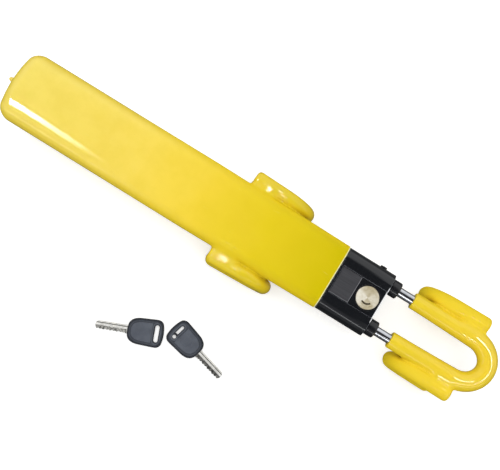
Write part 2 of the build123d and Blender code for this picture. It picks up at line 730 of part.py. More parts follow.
with BuildPart() as cam_plate:
    add(disc_at(CAM_R, 0, 0, CAM_BOTTOM, CAM_TOP))
    # two spiral slots push the follower pins outwards at an even rate over a quarter turn
    with BuildSketch(Plane.XY.offset(ROD_Z + CAM_BOTTOM)):
        Rectangle(DRIVE_SQUARE, DRIVE_SQUARE)
        for start in (90, 270):
            with BuildLine():
                spiral = Spline(*[spiral_point(turn, start) for turn in range(0, 91, 15)])
            trace(line_width=2 * (PIN_R + CUT_GAP))
            with Locations(spiral @ 0, spiral @ 1):
                Circle(PIN_R + CUT_GAP)
    extrude(amount=CAM_TOP - CAM_BOTTOM, mode=Mode.SUBTRACT)
pieces["cam_plate"] = cam_plate

with BuildPart() as cam_clip:
    with BuildSketch(Plane.XY.offset(ROD_Z + CLIP_BOTTOM)):
        Circle(CLIP_R)
        Circle(PLUG_TAIL_R, mode=Mode.SUBTRACT)
    extrude(amount=CLIP_THICK)
pieces["cam_clip"] = cam_clip

# ---------------------------------------------------------------- pawls and their springs

for name, side in SIDES.items():
    with BuildPart(Plane.XZ.offset(-side * PAWL_INNER_Y)) as spring_pocket:
        with Locations((0, ROD_Z + SPRING_HEIGHT)):
            Cylinder(SPRING_POCKET_R, 2 * SPRING_POCKET_DEPTH)

    with BuildPart() as pawl:
        add(
            block_at(
                (-PAWL_HALF_LENGTH, PAWL_HALF_LENGTH),
                across(side, PAWL_INNER_Y, PAWL_OUTER_Y),
                PAWL_BOTTOM,
                PAWL_TOP,
            )
        )
        add(
            block_at(
                (-NOSE_HALF_LENGTH, NOSE_HALF_LENGTH),
                across(side, NOSE_INNER_Y, PAWL_OUTER_Y),
                PAWL_TOP,
                NOSE_TOP,
            )
        )
        add(disc_at(PIN_R, 0, side * PIN_REACH, PAWL_TOP, CAM_TOP - 2 * CUT_GAP))
        add(spring_pocket.part, mode=Mode.SUBTRACT)
    pieces["pawl_" + name] = pawl

    with BuildPart() as pawl_spring:
        with BuildLine() as coil:
            Helix(
                pitch=SPRING_PITCH,
                height=SPRING_LENGTH,
                radius=SPRING_R,
                center=(0, side * SPRING_START_Y, ROD_Z + SPRING_HEIGHT),
                direction=(0, side, 0),
            )
        with BuildSketch(Plane(origin=coil.line @ 0, z_dir=coil.line % 0)):
            Circle(SPRING_WIRE_R)
        sweep(path=coil.wire(), is_frenet=True)
    pieces["pawl_spring_" + name] = pawl_spring

# ---------------------------------------------------------------- keys


def key_plane(key, along):
    """A plane across the key at a distance from the middle of its head, towards the ring end."""
    turn = radians(key["turn"])
    ahead = Vector(cos(turn), sin(turn), 0)
    middle = Vector(key["x"], key["y"], ROD_Z - FLOOR_DROP + KEY_HEAD_THICK / 2)
    return Plane(origin=middle + ahead * along, x_dir=(-sin(turn), cos(turn), 0), z_dir=ahead)


def key_blade(key):
    """A crescent-section blade with bitting cut into both edges."""
    tip = -KEY_HEAD_LENGTH / 2 - KEY_BLADE_LENGTH
    half_width = KEYWAY_R * sin(radians(KEYWAY_SPAN / 2))
    with BuildPart() as blade:
        with BuildSketch(key_plane(key, tip)):
            with BuildLine():
                CenterArc((0, KEY_BLADE_THICK - KEYWAY_R), KEYWAY_R, 90 - KEYWAY_SPAN / 2, KEYWAY_SPAN)
            trace(line_width=KEY_BLADE_THICK)
        extrude(amount=KEY_BLADE_LENGTH + KEY_BLADE_GRIP)
        for number, depth in enumerate(BITTING_DEPTHS):
            with BuildSketch(key_plane(key, tip + BITTING_START + BITTING_PITCH * number)):
                for edge in (-half_width, half_width):
                    with Locations((edge, 0)):
                        Rectangle(2 * depth, KEY_HEAD_THICK)
            extrude(amount=BITTING_WIDTH, mode=Mode.SUBTRACT)
    return blade


def key_head(key, blade):
    """A moulded head, wider at the ring end, with a slot across it for the key ring."""
    half_length = KEY_HEAD_LENGTH / 2
    turn = radians(key["turn"])
    flat = Plane(
        origin=(key["x"], key["y"], ROD_Z - FLOOR_DROP), x_dir=(cos(turn), sin(turn), 0), z_dir=(0, 0, 1)
    )
    with BuildPart() as head:
        with BuildSketch(flat):
            with BuildLine():
                Polyline(
                    (-half_length, KEY_HEAD_NARROW / 2),
                    (half_length - KEY_HEAD_CROWN, KEY_HEAD_WIDE / 2),
                    (half_length, 0),
                    (half_length - KEY_HEAD_CROWN, -KEY_HEAD_WIDE / 2),
                    (-half_length, -KEY_HEAD_NARROW / 2),
                    close=True,
                )
            outline = make_face()
            fillet(outline.vertices(), radius=KEY_HEAD_ROUND)
        extrude(amount=KEY_HEAD_THICK)
        ends = head.faces().sort_by(Axis.Z)
        fillet(ends[0].edges() + ends[-1].edges(), radius=KEY_HEAD_EDGE)
        with BuildSketch(flat):
            with Locations((half_length - RING_SLOT_INSET, 0)):
                SlotOverall(RING_SLOT_LENGTH, RING_SLOT_WIDTH, rotation=90)
        extrude(amount=KEY_HEAD_THICK, mode=Mode.SUBTRACT)
        add(blade.part, mode=Mode.SUBTRACT)
    return head


for name, key in (("key_1", KEY_1), ("key_2", KEY_2)):
    blade = key_blade(key)
    pieces[name + "_blade"] = blade
    pieces[name + "_head"] = key_head(key, blade)

# ---------------------------------------------------------------- files

os.makedirs("parts", exist_ok=True)
for name, piece in pieces.items():
    piece.part.label = name
    export_step(piece.part, f"parts/{name}.step")
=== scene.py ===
import json
from math import cos, pi, radians, sin

import bpy
import numpy as np
from mathutils import Matrix, Vector


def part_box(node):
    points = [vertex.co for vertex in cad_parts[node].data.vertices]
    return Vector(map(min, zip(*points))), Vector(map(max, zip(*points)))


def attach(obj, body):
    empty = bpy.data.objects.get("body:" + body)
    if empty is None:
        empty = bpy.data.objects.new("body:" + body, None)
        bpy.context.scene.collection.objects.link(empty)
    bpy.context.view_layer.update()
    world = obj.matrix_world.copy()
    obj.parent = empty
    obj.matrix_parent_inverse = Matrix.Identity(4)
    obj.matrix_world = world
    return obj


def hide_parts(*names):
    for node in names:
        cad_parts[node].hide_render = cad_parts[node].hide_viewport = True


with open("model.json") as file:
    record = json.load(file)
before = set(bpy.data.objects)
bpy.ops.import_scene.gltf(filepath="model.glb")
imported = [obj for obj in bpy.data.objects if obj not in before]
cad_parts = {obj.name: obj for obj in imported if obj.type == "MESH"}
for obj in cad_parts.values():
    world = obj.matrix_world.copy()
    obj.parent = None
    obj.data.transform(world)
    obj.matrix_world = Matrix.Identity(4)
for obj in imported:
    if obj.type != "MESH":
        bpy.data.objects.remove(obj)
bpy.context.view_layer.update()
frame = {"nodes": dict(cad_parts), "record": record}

MM = 0.001  # shapes are worked out in millimetres and scaled to metres when their mesh is made


# -------- places taken from the frame


def box(node):
    """Lowest and highest corner of a CAD node, in millimetres."""
    low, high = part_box(node)
    return np.array(low) / MM, np.array(high) / MM


def mesh_points(piece):
    """The corners of a piece's mesh, in millimetres."""
    return np.array([tuple(v.co) for v in piece.data.vertices]) / MM


bush_low, bush_high = box("rod_bush_left")
_, ROD_Y, ROD_Z = (bush_low + bush_high) / 2  # the left rod's axis
FLOOR_Z = box("key_1_head")[0][2]
HOUSING_FRONT_X = box("housing_top_cover")[1][0]

SKIN_LOW, SKIN_HIGH = box("handle_jacket")
SKIN_END_X = SKIN_HIGH[0]
SKIN_HALF_WIDTH = SKIN_HIGH[1]
SKIN_HALF_HEIGHT = SKIN_HIGH[2] - ROD_Z
SKIN_CORNER = 11.0
SKIN_EDGE = 0.9  # rounding of the cut end at the housing
DRIP_LENGTH = 5.0  # the drip of vinyl at the tail stands this far out
DRIP_R = 2.6
TAIL_X = SKIN_LOW[0] + DRIP_LENGTH
TAIL_CORNER = 11.5
TAIL_REACH = 45.0  # over this length the corners change to the tail's
TAIL_BOW = 5.5  # the middle of the tail stands this far beyond its corners
THIN_FROM_X = -195.0  # from here to the housing the skin grows thinner
THIN_WIDTH = 1.7
THIN_HEIGHT = 1.2
CROWN_FROM_X = -185.0  # from here to the tail the top and bottom slope down towards the sides
CROWN_REACH = 90.0
CROWN_FADE = 14.0  # the slope ends over this length at the tail
CROWN_START = 14.0  # half the width of the level strip in the middle
CROWN_WIDTH = 12.0
CROWN_DROP = 0.9

TUBE_LOW, TUBE_HIGH = box("handle_tube")
TUBE_CORNER = 9.0
TUBE_OPEN_END = 20.0  # the room for the tube runs on past the skin's end

FORK_LOW, FORK_HIGH = box("fork_jacket")
LEG_COAT_R = 8.6
BEND_COAT_R = FORK_HIGH[2] - ROD_Z
FORK_EDGE = 1.4  # rounding of the cut ends of the legs
LEG_SWELL = 1.5  # the power of the legs' growth from their ends to the bend
BEND_X = FORK_LOW[0] + 72.5  # the legs are straight up to here
BEND_DEPTH = FORK_HIGH[0] - BEND_COAT_R - BEND_X

# the blocks that fill the space between a hook and the handle or the fork: centre and half size
HANDLE_WEB = (-143.5, 39.0, ROD_Z), (12.5, 9.0, 7.2)
FORK_WEB = (107.0, 33.0, ROD_Z), (12.0, 9.0, 7.4)
WEB_CORNER = 5.0
WEB_FILLET = 5.0
DRIP_FILLET = 2.0
HANDLE_HOOK_FILLET = 3.0
FORK_HOOK_FILLET = 2.4
HOOK_END_CORNER = 5.0


def hook_shape(node, coat_r, opens, root_shift=0.0, tip_back=0.0, lean=0.0, short=0.0, close=0.0):
    """Driving sizes of one pair of hooks, read from the coated left hook.

    opens is the direction of X in which the hook opens. root_shift moves the upper arm's end along X, and
    the lower arm's end lies tip_back further towards -X. lean closes both hooks in towards their bends.
    short and close are how much shorter and closer in the right hook is.
    """
    low, high = box(node)
    root, bend = (low[0], high[0]) if opens < 0 else (high[0], low[0])
    radius = (high[2] - low[2]) / 2 - coat_r
    return {
        "y": high[1] - coat_r,
        "coat": coat_r,
        "opens": opens,
        "root": root + root_shift,
        "tip": root + root_shift - tip_back,
        "centre": bend + opens * (coat_r + radius),
        "radius": radius,
        "lean": lean,
        "short": short,
        "close": close,
    }


BODY_HOOK = hook_shape("body_hook_jacket_left", 8.0, -1, root_shift=3.5, tip_back=2.5, lean=2.2)
FORK_HOOK = hook_shape("fork_hook_jacket_left", 8.5, 1, tip_back=6.0, lean=1.0, short=2.4, close=1.0)


# -------- distance fields


NEWTON_ROUNDS = 4
TINY = 1e-6


def length(*parts):
    return np.sqrt(sum(part * part for part in parts))


def fade(distance, reach):
    """0 where distance is 0 or less, rising to 1 where it is reach or more."""
    return np.clip(distance / reach, 0, 1)


def blend_union(a, b, reach):
    """Union of two distance fields with a fillet about as wide as reach."""
    mix = np.clip(0.5 + 0.5 * (b - a) / reach, 0, 1)
    return b * (1 - mix) + a * mix - reach * mix * (1 - mix)


def blend_cut(a, b, reach):
    """The part of a that also lies in b, with a rounded edge."""
    return -blend_union(-a, -b, reach)


def round_edges(sides, corner):
    """A solid between flat sides, given the distances from those sides moved in by corner."""
    outside = length(*[np.maximum(side, 0) for side in sides])
    return outside + np.minimum(np.maximum.reduce(sides), 0) - corner


def rounded_box_field(p, centre, half, corner):
    return round_edges([np.abs(p[..., i] - centre[i]) - (half[i] - corner) for i in range(3)], corner)


def bead(across, up, radius):
    """A round bead or groove along the line where across and up are both 0."""
    return length(across, up) - radius


def web_field(p, web):
    """The web on the left side and its mirror image on the right."""
    centre, half = web
    mirrored = np.stack([p[..., 0], np.abs(p[..., 1]), p[..., 2]], axis=-1)
    return rounded_box_field(mirrored, centre, half, WEB_CORNER)


def hook_field(p, hook):
    """A pair of coated J hooks: an upper arm, a half circle and a lower arm."""
    opens, radius = hook["opens"], hook["radius"]
    x = (p[..., 0] - hook["centre"]) * opens  # 0 at the bend's centre, positive along the arms
    z = p[..., 2] - ROD_Z + radius  # 0 at the bend's centre
    root = (hook["root"] - hook["centre"]) * opens
    tip = (hook["tip"] - hook["centre"]) * opens
    leaning = fade(root - x, root + radius)
    right = fade(-p[..., 1], hook["y"])  # 0 on the left side, 1 at the right hook
    x = x - hook["short"] * right * fade(root - x, root)
    y = np.abs(p[..., 1]) - hook["y"] + hook["lean"] * leaning + hook["close"] * right
    bend = np.abs(length(x, z) - radius)
    upper = np.abs(z - radius)
    lower = length(z + radius, np.maximum(x - (tip - hook["coat"]), 0))
    line = np.where(x < 0, bend, np.minimum(upper, lower))
    coated = length(line, y) - hook["coat"]
    upper_end = np.where(z > 0, x - root, -HOOK_END_CORNER)
    return blend_cut(coated, upper_end, HOOK_END_CORNER)


def tube_space(p):
    """The room inside the skin for the steel tube, open towards the housing."""
    half = (TUBE_HIGH - TUBE_LOW) / 2
    centre = (TUBE_HIGH + TUBE_LOW) / 2
    half[0] += TUBE_OPEN_END / 2
    centre[0] += TUBE_OPEN_END / 2
    return rounded_box_field(p, centre, half, TUBE_CORNER)


def handle_bar(x, y, z):
    """The flat bar of the handle: bowed at the tail, crowned behind it, thinner towards the housing."""
    thin = fade(x - THIN_FROM_X, SKIN_END_X - THIN_FROM_X)
    corner = SKIN_CORNER + (TAIL_CORNER - SKIN_CORNER) * fade(TAIL_X + TAIL_REACH - x, TAIL_REACH)
    crowned = fade(CROWN_FROM_X - x, CROWN_REACH) * fade(x - TAIL_X, CROWN_FADE)
    shoulder = np.maximum(np.abs(y) - CROWN_START, 0) / CROWN_WIDTH
    drop = CROWN_DROP * crowned * np.where(shoulder < 1, shoulder**2, 2 * shoulder - 1)
    qx = TAIL_X + TAIL_BOW * (y / SKIN_HALF_WIDTH) ** 2 + corner - x  # distances from the moved-in sides
    qy = np.abs(y) - (SKIN_HALF_WIDTH - THIN_WIDTH * thin - corner)
    qz = np.abs(z) + drop - (SKIN_HALF_HEIGHT - THIN_HEIGHT * thin - corner)
    return round_edges([qx, qy, qz], corner)


def handle_field(p):
    """The yellow skin of the handle with its two hooks and the webs over their lugs."""
    x, y, z = p[..., 0], p[..., 1], p[..., 2] - ROD_Z
    drip = (length((x - TAIL_X) / DRIP_LENGTH, y / DRIP_R, z / DRIP_R) - 1) * DRIP_R
    skin = blend_union(handle_bar(x, y, z), drip, DRIP_FILLET)
    skin = blend_union(skin, web_field(p, HANDLE_WEB), WEB_FILLET)
    skin = blend_union(skin, hook_field(p, BODY_HOOK), HANDLE_HOOK_FILLET)
    skin = blend_cut(skin, x - SKIN_END_X, SKIN_EDGE)
    return np.maximum(skin, -tube_space(p))


def bend_distance(x, y, half_x, half_y):
    """Distance in plan from the half ellipse that closes the fork, by Newton's method."""
    turn = np.arctan2(half_x * y, half_y * x)
    for _ in range(NEWTON_ROUNDS):
        px, py = half_x * np.cos(turn), half_y * np.sin(turn)
        tx, ty = -half_x * np.sin(turn), half_y * np.cos(turn)
        slope = (px - x) * tx + (py - y) * ty
        curve = tx * tx + ty * ty - (px - x) * px - (py - y) * py
        turn = np.clip(turn - slope / np.where(np.abs(curve) < TINY, TINY, curve), -pi / 2, pi / 2)
    return length(half_x * np.cos(turn) - x, half_y * np.sin(turn) - y)


def fork_field(p):
    """The yellow skin of the fork with its two hooks and webs."""
    x, y, z = p[..., 0], p[..., 1], p[..., 2] - ROD_Z
    along = fade(x - FORK_LOW[0], BEND_X - FORK_LOW[0])
    legs = np.abs(np.abs(y) - ROD_Y)
    bend = bend_distance(np.maximum(x - BEND_X, 1e-3), y, BEND_DEPTH, ROD_Y)
    plan = np.where(x < BEND_X, legs, bend)
    thick = LEG_COAT_R + (BEND_COAT_R - LEG_COAT_R) * along**LEG_SWELL
    skin = blend_cut(bead(plan, z, thick), FORK_LOW[0] - x, FORK_EDGE)
    skin = blend_union(skin, web_field(p, FORK_WEB), WEB_FILLET)
    return blend_union(skin, hook_field(p, FORK_HOOK), FORK_HOOK_FILLET)


# -------- meshes from fields


CELL_CORNERS = [(i, j, k) for i in (0, 1) for j in (0, 1) for k in (0, 1)]
ROWS_AT_ONCE = 32
SLOPE_STEP = 0.02
EVENING_ROUNDS = 3
LANDING_STEPS = 2
SMALLEST_SLOPE = 0.05  # squared
LARGEST_MOVE = 1.0


def ticks(low, high, step, fine_from=None, fine_to=None, fine_step=None):
    """Grid positions along one axis, closer together between fine_from and fine_to."""
    if fine_from is None:
        return np.arange(low, high + step, step)
    parts = (low, fine_from, step), (fine_from, fine_to, fine_step), (fine_to, high + step, step)
    return np.concatenate([np.arange(*part) for part in parts])


def field_values(field, axes):
    """A field's values on a grid, worked out a few rows at a time."""
    values = np.empty([len(a) for a in axes])
    for row in range(0, len(axes[0]), ROWS_AT_ONCE):
        rows = slice(row, row + ROWS_AT_ONCE)
        grid = np.meshgrid(axes[0][rows], axes[1], axes[2], indexing="ij")
        values[rows] = field(np.stack(grid, axis=-1))
    return values


def crossed_cells(inside, shape):
    """The grid cells that the surface passes through."""
    count = np.zeros(shape, dtype=np.int8)
    for corner in CELL_CORNERS:
        count += inside[tuple(slice(c, c + n) for c, n in zip(corner, shape))]
    return np.argwhere((count > 0) & (count < len(CELL_CORNERS)))


def net_points(values, axes, cells):
    """One point in each cell: the mean of the places where the surface crosses the cell's edges."""
    total, crossed = np.zeros((len(cells), 3)), np.zeros(len(cells))
    for start in CELL_CORNERS:
        for axis in range(3):
            if start[axis]:
                continue
            end = tuple(1 if i == axis else start[i] for i in range(3))
            here, there = (values[tuple((cells + corner).T)] for corner in (start, end))
            cut = (here < 0) != (there < 0)
            share = np.where(cut, here / np.where(here == there, 1, here - there), 0)
            point = np.array(start, dtype=float) + np.outer(share, np.eye(3)[axis])
            total += point * cut[:, None]
            crossed += cut
    share = total / crossed[:, None]
    places = [axes[i][cells[:, i]] + share[:, i] * np.diff(axes[i])[cells[:, i]] for i in range(3)]
    return np.stack(places, axis=-1)


def net_faces(inside, cells, shape):
    """A quad round every grid edge that the surface crosses, facing outwards."""
    index = -np.ones(shape, dtype=np.int64)
    index[tuple(cells.T)] = np.arange(len(cells))
    faces = []
    for axis in range(3):
        u, v = (axis + 1) % 3, (axis + 2) % 3
        ahead, behind = [slice(None)] * 3, [slice(None)] * 3
        ahead[axis] = slice(1, None)
        behind[axis] = slice(None, -1)
        first = inside[tuple(behind)]
        edges = np.argwhere(first != inside[tuple(ahead)])
        edges = edges[(edges[:, u] > 0) & (edges[:, v] > 0)]
        edges = edges[(edges[:, u] < shape[u]) & (edges[:, v] < shape[v])]
        ring = []
        for du, dv in ((0, 0), (1, 0), (1, 1), (0, 1)):
            cell = edges.copy()
            cell[:, u] -= du
            cell[:, v] -= dv
            ring.append(index[tuple(cell.T)])
        quads = np.stack(ring, axis=1)
        reversed_edges = ~first[tuple(edges.T)]
        quads[reversed_edges] = quads[reversed_edges][:, ::-1]
        faces.append(quads)
    return np.concatenate(faces)


def slope_of(field, points):
    slopes = []
    for axis in np.eye(3):
        rise = field(points + SLOPE_STEP * axis) - field(points - SLOPE_STEP * axis)
        slopes.append(rise / (2 * SLOPE_STEP))
    return np.stack(slopes, axis=-1)


def settle(field, verts, faces):
    """Evens out the vertices along the surface, then puts them exactly on it."""
    pairs = np.concatenate([faces[:, [i, (i + 1) % 4]] for i in range(4)])
    for _ in range(EVENING_ROUNDS):
        total = np.zeros_like(verts)
        degree = np.zeros(len(verts))
        np.add.at(total, pairs[:, 0], verts[pairs[:, 1]])
        np.add.at(degree, pairs[:, 0], 1)
        verts = 0.5 * verts + 0.5 * total / degree[:, None]
        for _ in range(LANDING_STEPS):
            slope = slope_of(field, verts)
            size = np.maximum((slope**2).sum(axis=1), SMALLEST_SLOPE)
            move = (field(verts) / size)[:, None] * slope
            verts = verts - np.clip(move, -LARGEST_MOVE, LARGEST_MOVE)
    return verts


def surface_net(field, axes):
    """A quad mesh of a field's zero surface."""
    values = field_values(field, axes)
    inside = values < 0
    shape = [n - 1 for n in values.shape]
    cells = crossed_cells(inside, shape)
    faces = net_faces(inside, cells, shape)
    return settle(field, net_points(values, axes, cells), faces), faces


def mesh_object(name, verts, faces):
    """A smooth-shaded piece from vertices in millimetres."""
    mesh = bpy.data.meshes.new(name)
    mesh.from_pydata((np.asarray(verts) * MM).tolist(), [], np.asarray(faces).tolist())
    mesh.update()
    mesh.shade_smooth()
    piece = bpy.data.objects.new(name, mesh)
    bpy.context.scene.collection.objects.link(piece)
    return piece


# -------- node helpers


NOISE_RANGE = 0.3, 0.7
SHARP_EDGE, FLAT = 0.75, 0.97  # how far the rounded normal agrees with the true one


def rgb(red, green, blue):
    return (red, green, blue, 1.0)


class Graph:
    """Adds and links shader nodes in one node tree."""

    def __init__(self, tree):
        self.tree = tree

    def put(self, socket, value):
        """Links value to a socket if it is a node's output, and otherwise stores it there."""
        if isinstance(value, bpy.types.NodeSocket):
            self.tree.links.new(value, socket)
        else:
            socket.default_value = value

    def add(self, kind, inputs=None, **settings):
        node = self.tree.nodes.new("ShaderNode" + kind)
        for key, value in settings.items():
            setattr(node, key, value)
        for key, value in (inputs or {}).items():
            self.put(node.inputs[key], value)
        return node

    def math(self, operation, *values, clamp=False):
        return self.add("Math", dict(enumerate(values)), operation=operation, use_clamp=clamp).outputs[0]

    def split(self, vector):
        """The X, Y and Z of a vector."""
        return tuple(self.add("SeparateXYZ", {"Vector": vector}).outputs)

    def mix(self, share, first, last):
        """A number between first and last."""
        return self.add("Mix", {0: share, 2: first, 3: last}).outputs[0]

    def ramp(self, value, low, high, first=0.0, last=1.0, smooth=False):
        """Maps value between low and high onto the numbers first to last."""
        inputs = {"Value": value, "From Min": low, "From Max": high, "To Min": first, "To Max": last}
        curve = "SMOOTHSTEP" if smooth else "LINEAR"
        return self.add("MapRange", inputs, interpolation_type=curve).outputs[0]


class Finish(Graph):
    """The nodes of one material. Places are in metres, in the object's own directions."""

    def __init__(self, name):
        self.material = bpy.data.materials.new(name)
        self.material.use_nodes = True
        super().__init__(self.material.node_tree)
        self.shader = self.tree.nodes["Principled BSDF"]
        self.coords = self.add("TexCoord").outputs["Object"]

    def finished(self, **inputs):
        """Sets the shader's inputs and returns the material."""
        for key, value in inputs.items():
            self.put(self.shader.inputs[key.replace("_", " ")], value)
        return self.material

    def noise(self, scale, detail=3.0, roughness=0.5, stretch=(1, 1, 1), offset=0.0):
        place = self.add("Mapping", {"Vector": self.coords, "Scale": stretch, "Location": (offset,) * 3})
        inputs = {"Vector": place.outputs[0], "Scale": scale, "Detail": detail, "Roughness": roughness}
        return self.add("TexNoise", inputs).outputs["Fac"]

    def vary(self, noise, first=0.0, last=1.0):
        """Maps the usual range of a noise onto the numbers first to last."""
        return self.ramp(noise, *NOISE_RANGE, first, last)

    def colour(self, share, first, last):
        """A colour between first and last."""
        return self.add("Mix", {0: share, 6: first, 7: last}, data_type="RGBA").outputs[2]

    def bump(self, height, distance, strength=1.0, normal=None):
        inputs = {"Height": height, "Distance": distance, "Strength": strength}
        if normal is not None:
            inputs["Normal"] = normal
        return self.add("Bump", inputs).outputs[0]

    def normal(self):
        return self.add("NewGeometry").outputs["Normal"]

    def edge_wear(self, radius):
        """About 1 on sharp edges and 0 on flats."""
        rounded = self.add("Bevel", {"Radius": radius}, samples=4).outputs[0]
        across = self.add("VectorMath", {0: rounded, 1: self.normal()}, operation="DOT_PRODUCT")
        return self.ramp(across.outputs["Value"], FLAT, SHARP_EDGE)


# -------- materials


VINYL_SPECK = rgb(0.55, 0.42, 0.02)
VINYL_MOTTLE = rgb(0.72, 0.52, 0.012)
VINYL_SCUFF = rgb(0.97, 0.88, 0.36)
VINYL_CURVE_SHADE = rgb(0.96, 0.70, 0.020)
VINYL_CREASE_SHADE = rgb(0.42, 0.24, 0.003)
VINYL_RIM_HIGHLIGHT = rgb(0.95, 0.92, 0.55)
CREASE_SHADE_REACH = 0.012
# where the gloss begins and is full, in metres: along X at the tail, and to both sides of the middle plane
TAIL_GLOSS = -0.23, -0.30
HOOK_GLOSS = 0.0365, 0.0385
BEND_GLOSS = 0.0315, 0.0285
VINYL_CUT_HIGHLIGHT = 1.3, 0.6  # the painted highlight on the cut end begins here, measured inwards in millimetres


def tone_along(n, x, stops):
    """A tone that changes along X through the stops, which are pairs of X in millimetres and tone."""
    scale = n.add("ValToRGB", {"Fac": n.ramp(x, TAIL_X * MM, FORK_HIGH[0] * MM)})
    elements = scale.color_ramp.elements
    for number, (place, tone) in enumerate(stops):
        stop = elements[number] if number < 2 else elements.new(1.0)
        stop.position = (place - TAIL_X) / (FORK_HIGH[0] - TAIL_X)
        stop.color = tone
    return scale.outputs["Color"]


def vinyl_tone(n, x, stops, rim):
    """Yellow that drifts along X through the stops, with specks, mottling and scuffs, painted shade on the
    curved sides and in the creases, and a painted highlight along the cut rim.
    """
    drift = n.vary(n.noise(16.0, detail=2.0), -0.012, 0.012)
    tone = tone_along(n, n.math("ADD", x, drift), stops)
    specks = n.noise(900.0, detail=1.0, offset=3.0)
    tone = n.colour(n.ramp(specks, 0.74, 0.8, 0.0, 0.25), tone, VINYL_SPECK)
    mottle = n.noise(38.0, detail=5.0, roughness=0.6, offset=5.0)
    tone = n.colour(n.ramp(mottle, 0.42, 0.62, 0.0, 0.16), tone, VINYL_MOTTLE)
    scuffs = n.noise(240.0, detail=4.0, roughness=0.7, stretch=(0.12, 1.0, 1.0))
    tone = n.colour(n.ramp(scuffs, 0.66, 0.74, 0.0, 0.22), tone, VINYL_SCUFF)
    # painted shade: a deeper yellow where the surface tilts away from straight up
    upright = n.split(n.normal())[2]
    tone = n.colour(n.ramp(n.math("ABSOLUTE", upright), 0.95, 0.6, 0.0, 0.55), tone, VINYL_CURVE_SHADE)
    # painted shade: darker brown in the creases, where little open air is seen
    open_air = n.add("AmbientOcclusion", {"Distance": CREASE_SHADE_REACH}, samples=4).outputs["AO"]
    tone = n.colour(n.ramp(open_air, 0.75, 0.25, 0.0, 0.85), tone, VINYL_CREASE_SHADE)
    # painted highlight: a pale band along the cut end of the skin
    if rim is not None:
        at_rim_highlight = n.ramp(x, *[(rim - inset) * MM for inset in VINYL_CUT_HIGHLIGHT])
        tone = n.colour(at_rim_highlight, tone, VINYL_RIM_HIGHLIGHT)
    return tone


def yellow_vinyl(name, stops, glossy, rim=None):
    """Dipped vinyl: slow waves in its surface, fine orange peel, and a clear gloss where glossy is 1."""
    n = Finish(name)
    x, y, _ = n.split(n.coords)
    smear = n.noise(60.0, detail=4.0, stretch=(0.4, 1.0, 1.0))
    waves = n.bump(n.noise(55.0, detail=1.0, offset=1.0), 0.0012, 0.12)
    return n.finished(
        Base_Color=vinyl_tone(n, x, stops, rim),
        Roughness=n.vary(smear, 0.42, 0.5),
        Normal=n.bump(n.noise(1400.0, detail=2.0), 0.00004, 0.4, waves),
        Specular_IOR_Level=0.0,
        Coat_Weight=n.mix(glossy(n, x, y), 0.1, 0.9),
        Coat_Roughness=n.vary(smear, 0.03, 0.06),
        Coat_Normal=waves,
        Subsurface_Weight=0.06,
        Subsurface_Radius=(0.004, 0.003, 0.0005),
        Subsurface_Scale=0.5,
    )


def glossy_tail_and_hooks(n, x, y):
    """1 at the tail and on the hooks, 0 on the part of the handle that hands have dulled."""
    tail = n.ramp(x, *TAIL_GLOSS)
    hooks = n.ramp(n.math("ABSOLUTE", y), *HOOK_GLOSS)
    return n.math("MAXIMUM", tail, hooks)


def glossy_bend(n, _x, y):
    """1 on the fork's own bar, 0 on the hooks, which wheel rims have rubbed dull."""
    return n.ramp(n.math("ABSOLUTE", y), *BEND_GLOSS)


FRONT_HIGHLIGHT_INSET = 0.9, 0.6  # the painted highlight on the front face begins here, measured inwards in millimetres
BETWEEN_RODS = 0.0205, 0.0185  # to both sides of the middle plane, in metres
HOUSING_TOP = 0.0212, 0.0222  # height in metres


def front_edge_highlight(n):
    """1 along the top of the housing's front face, between the rods, where a highlight is painted."""
    x, y, z = n.split(n.coords)
    at_front = n.ramp(x, *[(HOUSING_FRONT_X - inset) * MM for inset in FRONT_HIGHLIGHT_INSET])
    between_rods = n.ramp(n.math("ABSOLUTE", y), *BETWEEN_RODS)
    upper = n.ramp(z, *HOUSING_TOP)
    return n.math("MULTIPLY", n.math("MULTIPLY", at_front, between_rods), upper)


def black_gloss():
    """Moulded black housing: glossy, with faint sink waves, dust, edges painted paler as wear and as
    highlight, and a painted highlight along the front edge.
    """
    n = Finish("black_gloss")
    dust = n.ramp(n.noise(700.0, detail=3.0), 0.6, 0.75, 0.0, 0.15)
    tone = n.colour(dust, rgb(0.008, 0.009, 0.011), rgb(0.035, 0.035, 0.039))
    # the edges are painted paler: partly wear, partly painted highlight on the eased edges
    tone = n.colour(n.edge_wear(0.0006), tone, rgb(0.26, 0.27, 0.30))
    # painted highlight: a near-white line along the front edge
    tone = n.colour(front_edge_highlight(n), tone, rgb(0.86, 0.87, 0.88))
    sink = n.bump(n.noise(90.0, detail=1.0), 0.0006, 0.15)
    return n.finished(
        Base_Color=tone,
        Roughness=n.vary(n.noise(120.0, detail=4.0), 0.10, 0.2),
        Normal=n.bump(n.noise(2600.0, detail=1.0), 0.00002, 0.35, sink),
        Coat_Weight=0.3,
        Coat_Roughness=0.08,
    )


def black_enamel():
    """Thick enamel on turned steel, worn to metal along its edges."""
    n = Finish("black_enamel")
    chips = n.ramp(n.noise(500.0, detail=5.0, roughness=0.7), 0.45, 0.6)
    wear = n.math("MULTIPLY", n.edge_wear(0.0004), chips)
    rings = n.noise(900.0, detail=1.0, stretch=(1.0, 0.02, 0.02))
    return n.finished(
        Base_Color=n.colour(wear, rgb(0.008, 0.008, 0.01), rgb(0.35, 0.35, 0.36)),
        Metallic=n.mix(wear, 0.0, 0.9),
        Roughness=n.vary(n.noise(200.0, detail=3.0), 0.14, 0.3),
        Normal=n.bump(rings, 0.00003, 0.4),
        Coat_Weight=0.2,
        Coat_Roughness=0.1,
    )


CUT_EDGE_HIGHLIGHT = 0.6, 0.4  # the painted highlight on a cut edge begins here, measured inwards in millimetres
